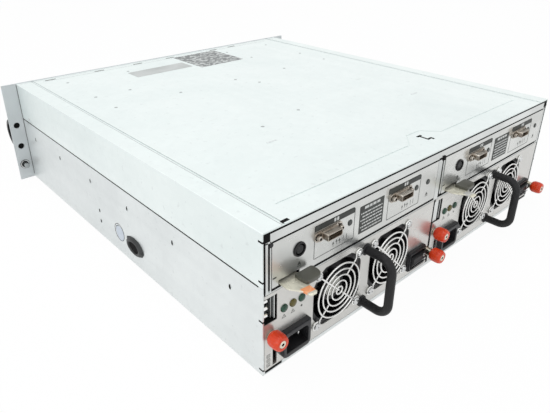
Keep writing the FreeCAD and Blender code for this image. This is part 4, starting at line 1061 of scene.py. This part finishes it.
def cover_details():
    """Slots filled with black painted shade, grey fold lines and spot welds of painted shade,
    lances and plain labels on the cover.
    """
    def flats(bm, rows, low, high):
        """Rectangles given as x0, x1, y0, y1, between two heights over the skin."""
        for x0, x1, y0, y1 in rows:
            add_box(bm, x0, x1, REAR + y0, REAR + y1, TOP + low, TOP + high)

    # Painted shade: black fills in the slots and slits.
    bm = bmesh.new()
    fills = [(-15.0, -12.4, -23.6, -18.8), (-12.4, -9.6, -23.6, -21.2), (-9.6, -7.2, -33.8, -21.0),
             (-12.0, -5.0, -33.8, -31.2), (195.6, 202.4, -4.8, -1.4)]
    fills += [(x - 7, x + 7, -470.8, -468.6) for x in (182.0, 113.5, 54.0, -1.0, -82.0, -119.0)]
    flats(bm, fills, -0.3, 0.04)
    piece("cover_slot_ends", bm, SHADOW_GAP, "chassis")
    # Painted shade: grey lines along the creases, folds and front edge.
    bm = bmesh.new()
    edge = SIDE - 18.5
    folds = [(edge, edge + 0.4), (edge - 2.9, edge - 2.5), (-edge - 0.4, -edge),
             (2.5 - edge, 2.9 - edge)]
    lines = [(3 - SIDE, SIDE - 3, -474.6, -474.1), (-190, 193, -466.4, -465.8)]
    flats(bm, lines + [(x0, x1, -478, 0) for x0, x1 in folds], -0.05, 0.03)
    piece("cover_fold_lines", bm, SHADE_GREY, "chassis")
    # Spot weld dimples coloured grey as painted shade.
    bm = bmesh.new()
    add_lathe(bm, 0, 0, [(0, -0.2), (2.0, -0.2), (2.0, 0.0), (1.7, 0.10), (1.2, 0.12), (0.9, 0.06),
                         (0, 0.06)], 24)
    turned(bm, 90, "X")
    weld = pattern("spot_weld_source", bm)
    spots = [(x, y) for x in (171, 85, -88, -170) for y in (-441, -309)]
    spots += [(171, -360), (-170, -360), (-16, -279), (88, -154), (24, -167), (-96, -390),
              (126, -360), (0, -309)]
    on_marks("cover_spot_welds", weld, [(x, REAR + y, TOP) for x, y in spots], SHADE_GREY, "chassis")
    bm = bmesh.new()
    flats(bm, [(x - 6, x + 6, y - 1, y + 1) for x, y in ((108, -118), (-123, -117))], -0.2, 0.35)
    flats(bm, [(x - 5, x + 5, y - 0.5, y + 0.5) for x, y in ((114, -204), (-122, -203))], -0.2, 0.2)
    soften(bm, 0.2)
    piece("cover_lances", bm, TRAY, "chassis", slot="zinc_sheet")
    for name, skin, x0, x1, y0, y1 in (("slate_label", LABEL_GREY, -80, -4, -465, -390),
                                       ("silver_label", LABEL_PALE, 2, 90, -433, -404)):
        bm = bmesh.new()
        add_plate(bm, rounded_outline((x0 + x1) / 2, REAR + (y0 + y1) / 2, x1 - x0, y1 - y0,
                                      (1.5,) * 4, 5), TOP - 0.05, TOP + 0.10)
        piece("cover_" + name, bm, skin, "chassis")


def ear_fittings():
    """Captive screws' rings, black painted shade in rings round the screws, on a plate that darkens
    the ear holes and along the ear's fold, and a dimple on each ear.
    """
    y = FRONT + 2.0
    rings, shade_parts, dimples = bmesh.new(), bmesh.new(), bmesh.new()
    for s in (-1, 1):
        x, z = s * EAR_SCREW[0], EAR_SCREW[1]
        add_lathe(rings, x, z, [(3.5, y), (5.6, y), (5.6, y + 0.8), (5.2, y + 1.1),
                                (3.9, y + 1.1), (3.5, y + 0.8), (3.5, y)], 36)
        # Painted shade: black rings round each captive screw.
        for a, b, y0, y1 in ((5.4, 6.2, -0.1, 0.1), (2.4, 4.4, -0.1, 1.25), (1.5, 3.9, 3.9, 4.15)):
            add_ring(shade_parts, circle_outline(x, z, b), circle_outline(x, z, a), y + y0, y + y1)
        # Painted shade: a black plate on the front of the ear darkens the ear holes.
        add_box(shade_parts, x - 6.5, x + 6.0, FRONT - 1.0, FRONT, 40.0, 90.0)
        add_lathe(dimples, x, 92.6, [(0, y), (1.6, y), (1.6, y + 0.2), (0, y + 0.3)], 20)
    # Painted shade: black line along the fold between ear and side.
    for x0, x1 in both_sides(SIDE - 0.5, SIDE + 0.35):
        add_box(shade_parts, x0, x1, FRONT + 1.9, FRONT + 2.5, 4.0, 129.4)
    piece("ear_screw_rings", rings, ZINC, "chassis", slot="screw_zinc")
    piece("ear_grip_plates", shade_parts, SHADOW_GAP, "chassis")
    piece("ear_dimples", dimples, EAR_PAINT, "chassis", slot="ear_steel")


# ---- drive side -----------------------------------------------------------------------------
def carrier_front(i, slot_source):
    """Latch lever, air slots drawn in black painted shade, status lenses and a plain index tab on
    one carrier.
    """
    body = "drive_carrier_%02d" % i
    low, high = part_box(body)
    x, mid = (low.x + high.x) / 2 / MM, (low.z + high.z) / 2 / MM
    face = FRONT - 9.0
    # Painted shade: black slot inlays stand for the air slots.
    for k, z in enumerate((mid - 22, mid, mid + 22)):
        in_a_row("%s_air_slots_%d" % (body, k + 1), slot_source, 4, (x + 6.5, face, z - 6.6),
                 (0, 0, 4.4), SHADOW_GAP, body)
    bm = bmesh.new()
    r = 1.3
    for z in (mid + 52.0, mid + 47.0):
        add_lathe(bm, x + 7.5, z, [(0, face - 0.9), (r * 0.7, face - 0.8), (r, face - 0.3),
                                   (r, face + 1), (0, face + 1)], 20)
    piece(body + "_status_lenses", bm, LENS_GREEN, body, slot="lens_green")
    bm = bmesh.new()
    add_box(bm, x - 8.2, x + 0.2, face - 7.35, face - 6.6, mid - 36, mid + 32)
    soften(bm, 0.3)
    for z in (mid + 12 + 2.6 * k for k in range(6)):
        add_box(bm, x - 7.2, x - 0.8, face - 7.6, face - 7.2, z, z + 1.2)
    piece(body + "_latch_face", bm, LATCH_GREY, body, slot="carrier_grey")
    bm = bmesh.new()
    add_box(bm, x + 3.0, x + 10.0, face - 0.25, face + 0.2, mid - 52, mid - 38)
    soften(bm, 0.2)
    piece(body + "_index_tab", bm, LABEL_PALE, body)


def drive_side():
    # Black outline and fill, painted as the shade of one air slot.
    bm = bmesh.new()
    add_ring(bm, rounded_outline(0, 0, 6.0, 2.4, (1.1,) * 4, 4),
             rounded_outline(0, 0, 5.2, 1.6, (0.7,) * 4, 4), -0.3, 0.1)
    add_prism(bm, rounded_outline(0, 0, 5.3, 1.7, (0.7,) * 4, 4), -0.12, 0.1)
    slot_source = pattern("air_slot_source", bm)
    for i in range(1, 16):
        carrier_front(i, slot_source)


seam_strip()
module_frame()
rear_gaps()
side_fittings()
cover_details()
ear_fittings()
drive_side()
for source in PATTERNS:
    bpy.data.objects.remove(source)


# ---- floor, light and camera ----------------------------------------------------------------
def white_to_camera(tree, plain, plain_out, white_share):
    """Shows white to the camera and to glossy rays, and lets the plain surface light the rest."""
    path = tree.nodes.new("ShaderNodeLightPath").outputs
    seen = sums(tree, path["Is Camera Ray"], path["Is Glossy Ray"], "MAXIMUM")
    seen = sums(tree, seen, path["Is Transmission Ray"], "MAXIMUM")
    mix = tree.nodes.new("ShaderNodeMixShader")
    tree.links.new(sums(tree, seen, white_share, "MULTIPLY"), mix.inputs["Fac"])
    tree.links.new(plain.outputs[plain_out], mix.inputs[1])
    return mix


def studio():
    world = bpy.data.worlds.new("studio_white")
    bpy.context.scene.world = world
    world.use_nodes = True
    tree = world.node_tree
    soft = tree.nodes["Background"]
    soft.inputs["Color"].default_value = (0.95, 0.98, 1.0, 1)
    soft.inputs["Strength"].default_value = 0.62
    white = tree.nodes.new("ShaderNodeBackground")
    white.inputs["Color"].default_value = (1, 1, 1, 1)
    white.inputs["Strength"].default_value = 1.0
    mix = white_to_camera(tree, soft, "Background", 1.0)
    link(tree, (white, "Background", mix, 2),
         (mix, "Shader", tree.nodes["World Output"], "Surface"))

    bm = bmesh.new()
    bmesh.ops.create_circle(bm, cap_ends=True, segments=64, radius=6000)
    floor = placed("floor", mesh_of("floor", bm, (0, 0, -0.05)))
    paper = bpy.data.materials.new("white_paper")
    paper.use_nodes = True
    tree = paper.node_tree
    shader = tree.nodes["Principled BSDF"]
    shader.inputs["Base Color"].default_value = (0.92, 0.92, 0.92, 1)
    shader.inputs["Roughness"].default_value = 0.9
    glow = tree.nodes.new("ShaderNodeEmission")
    glow.inputs["Color"].default_value = (1, 1, 1, 1)
    glow.inputs["Strength"].default_value = 1.0
    mix = white_to_camera(tree, shader, "BSDF", 0.96)
    link(tree, (glow, "Emission", mix, 2),
         (mix, "Shader", tree.nodes["Material Output"], "Surface"))
    floor.data.materials.append(paper)


def lamp(name, place, aim, size, power):
    data = bpy.data.lights.new(name, "AREA")
    data.shape = "DISK"
    data.size = size
    data.energy = power
    obj = placed(name, data)
    obj.location = place
    obj.rotation_euler = (Vector(aim) - Vector(place)).to_track_quat("-Z", "Y").to_euler()


def camera():
    data = bpy.data.cameras.new("camera")
    data.lens = 34.8
    data.sensor_width = 36.0
    data.shift_x = 0.0125
    data.shift_y = -0.060
    data.clip_start = 0.01
    obj = placed("camera", data)
    obj.location = (0.4228, 0.46255, 0.3222)
    obj.rotation_euler = Vector((-0.5994, -0.6727, -0.4339)).to_track_quat("-Z", "Y").to_euler()
    bpy.context.scene.camera = obj


studio()
lamp("soft_top", (0.2, -0.2, 2.2), (0, 0, 0), 2.2, 20.0)
lamp("soft_right", (2.2, 0.3, 1.0), (0, 0, 0.05), 1.4, 9.0)
lamp("soft_rear", (0.3, 2.4, 0.9), (0, 0, 0.05), 1.4, 4.0)
camera()
bpy.context.scene.view_settings.view_transform = "Standard"
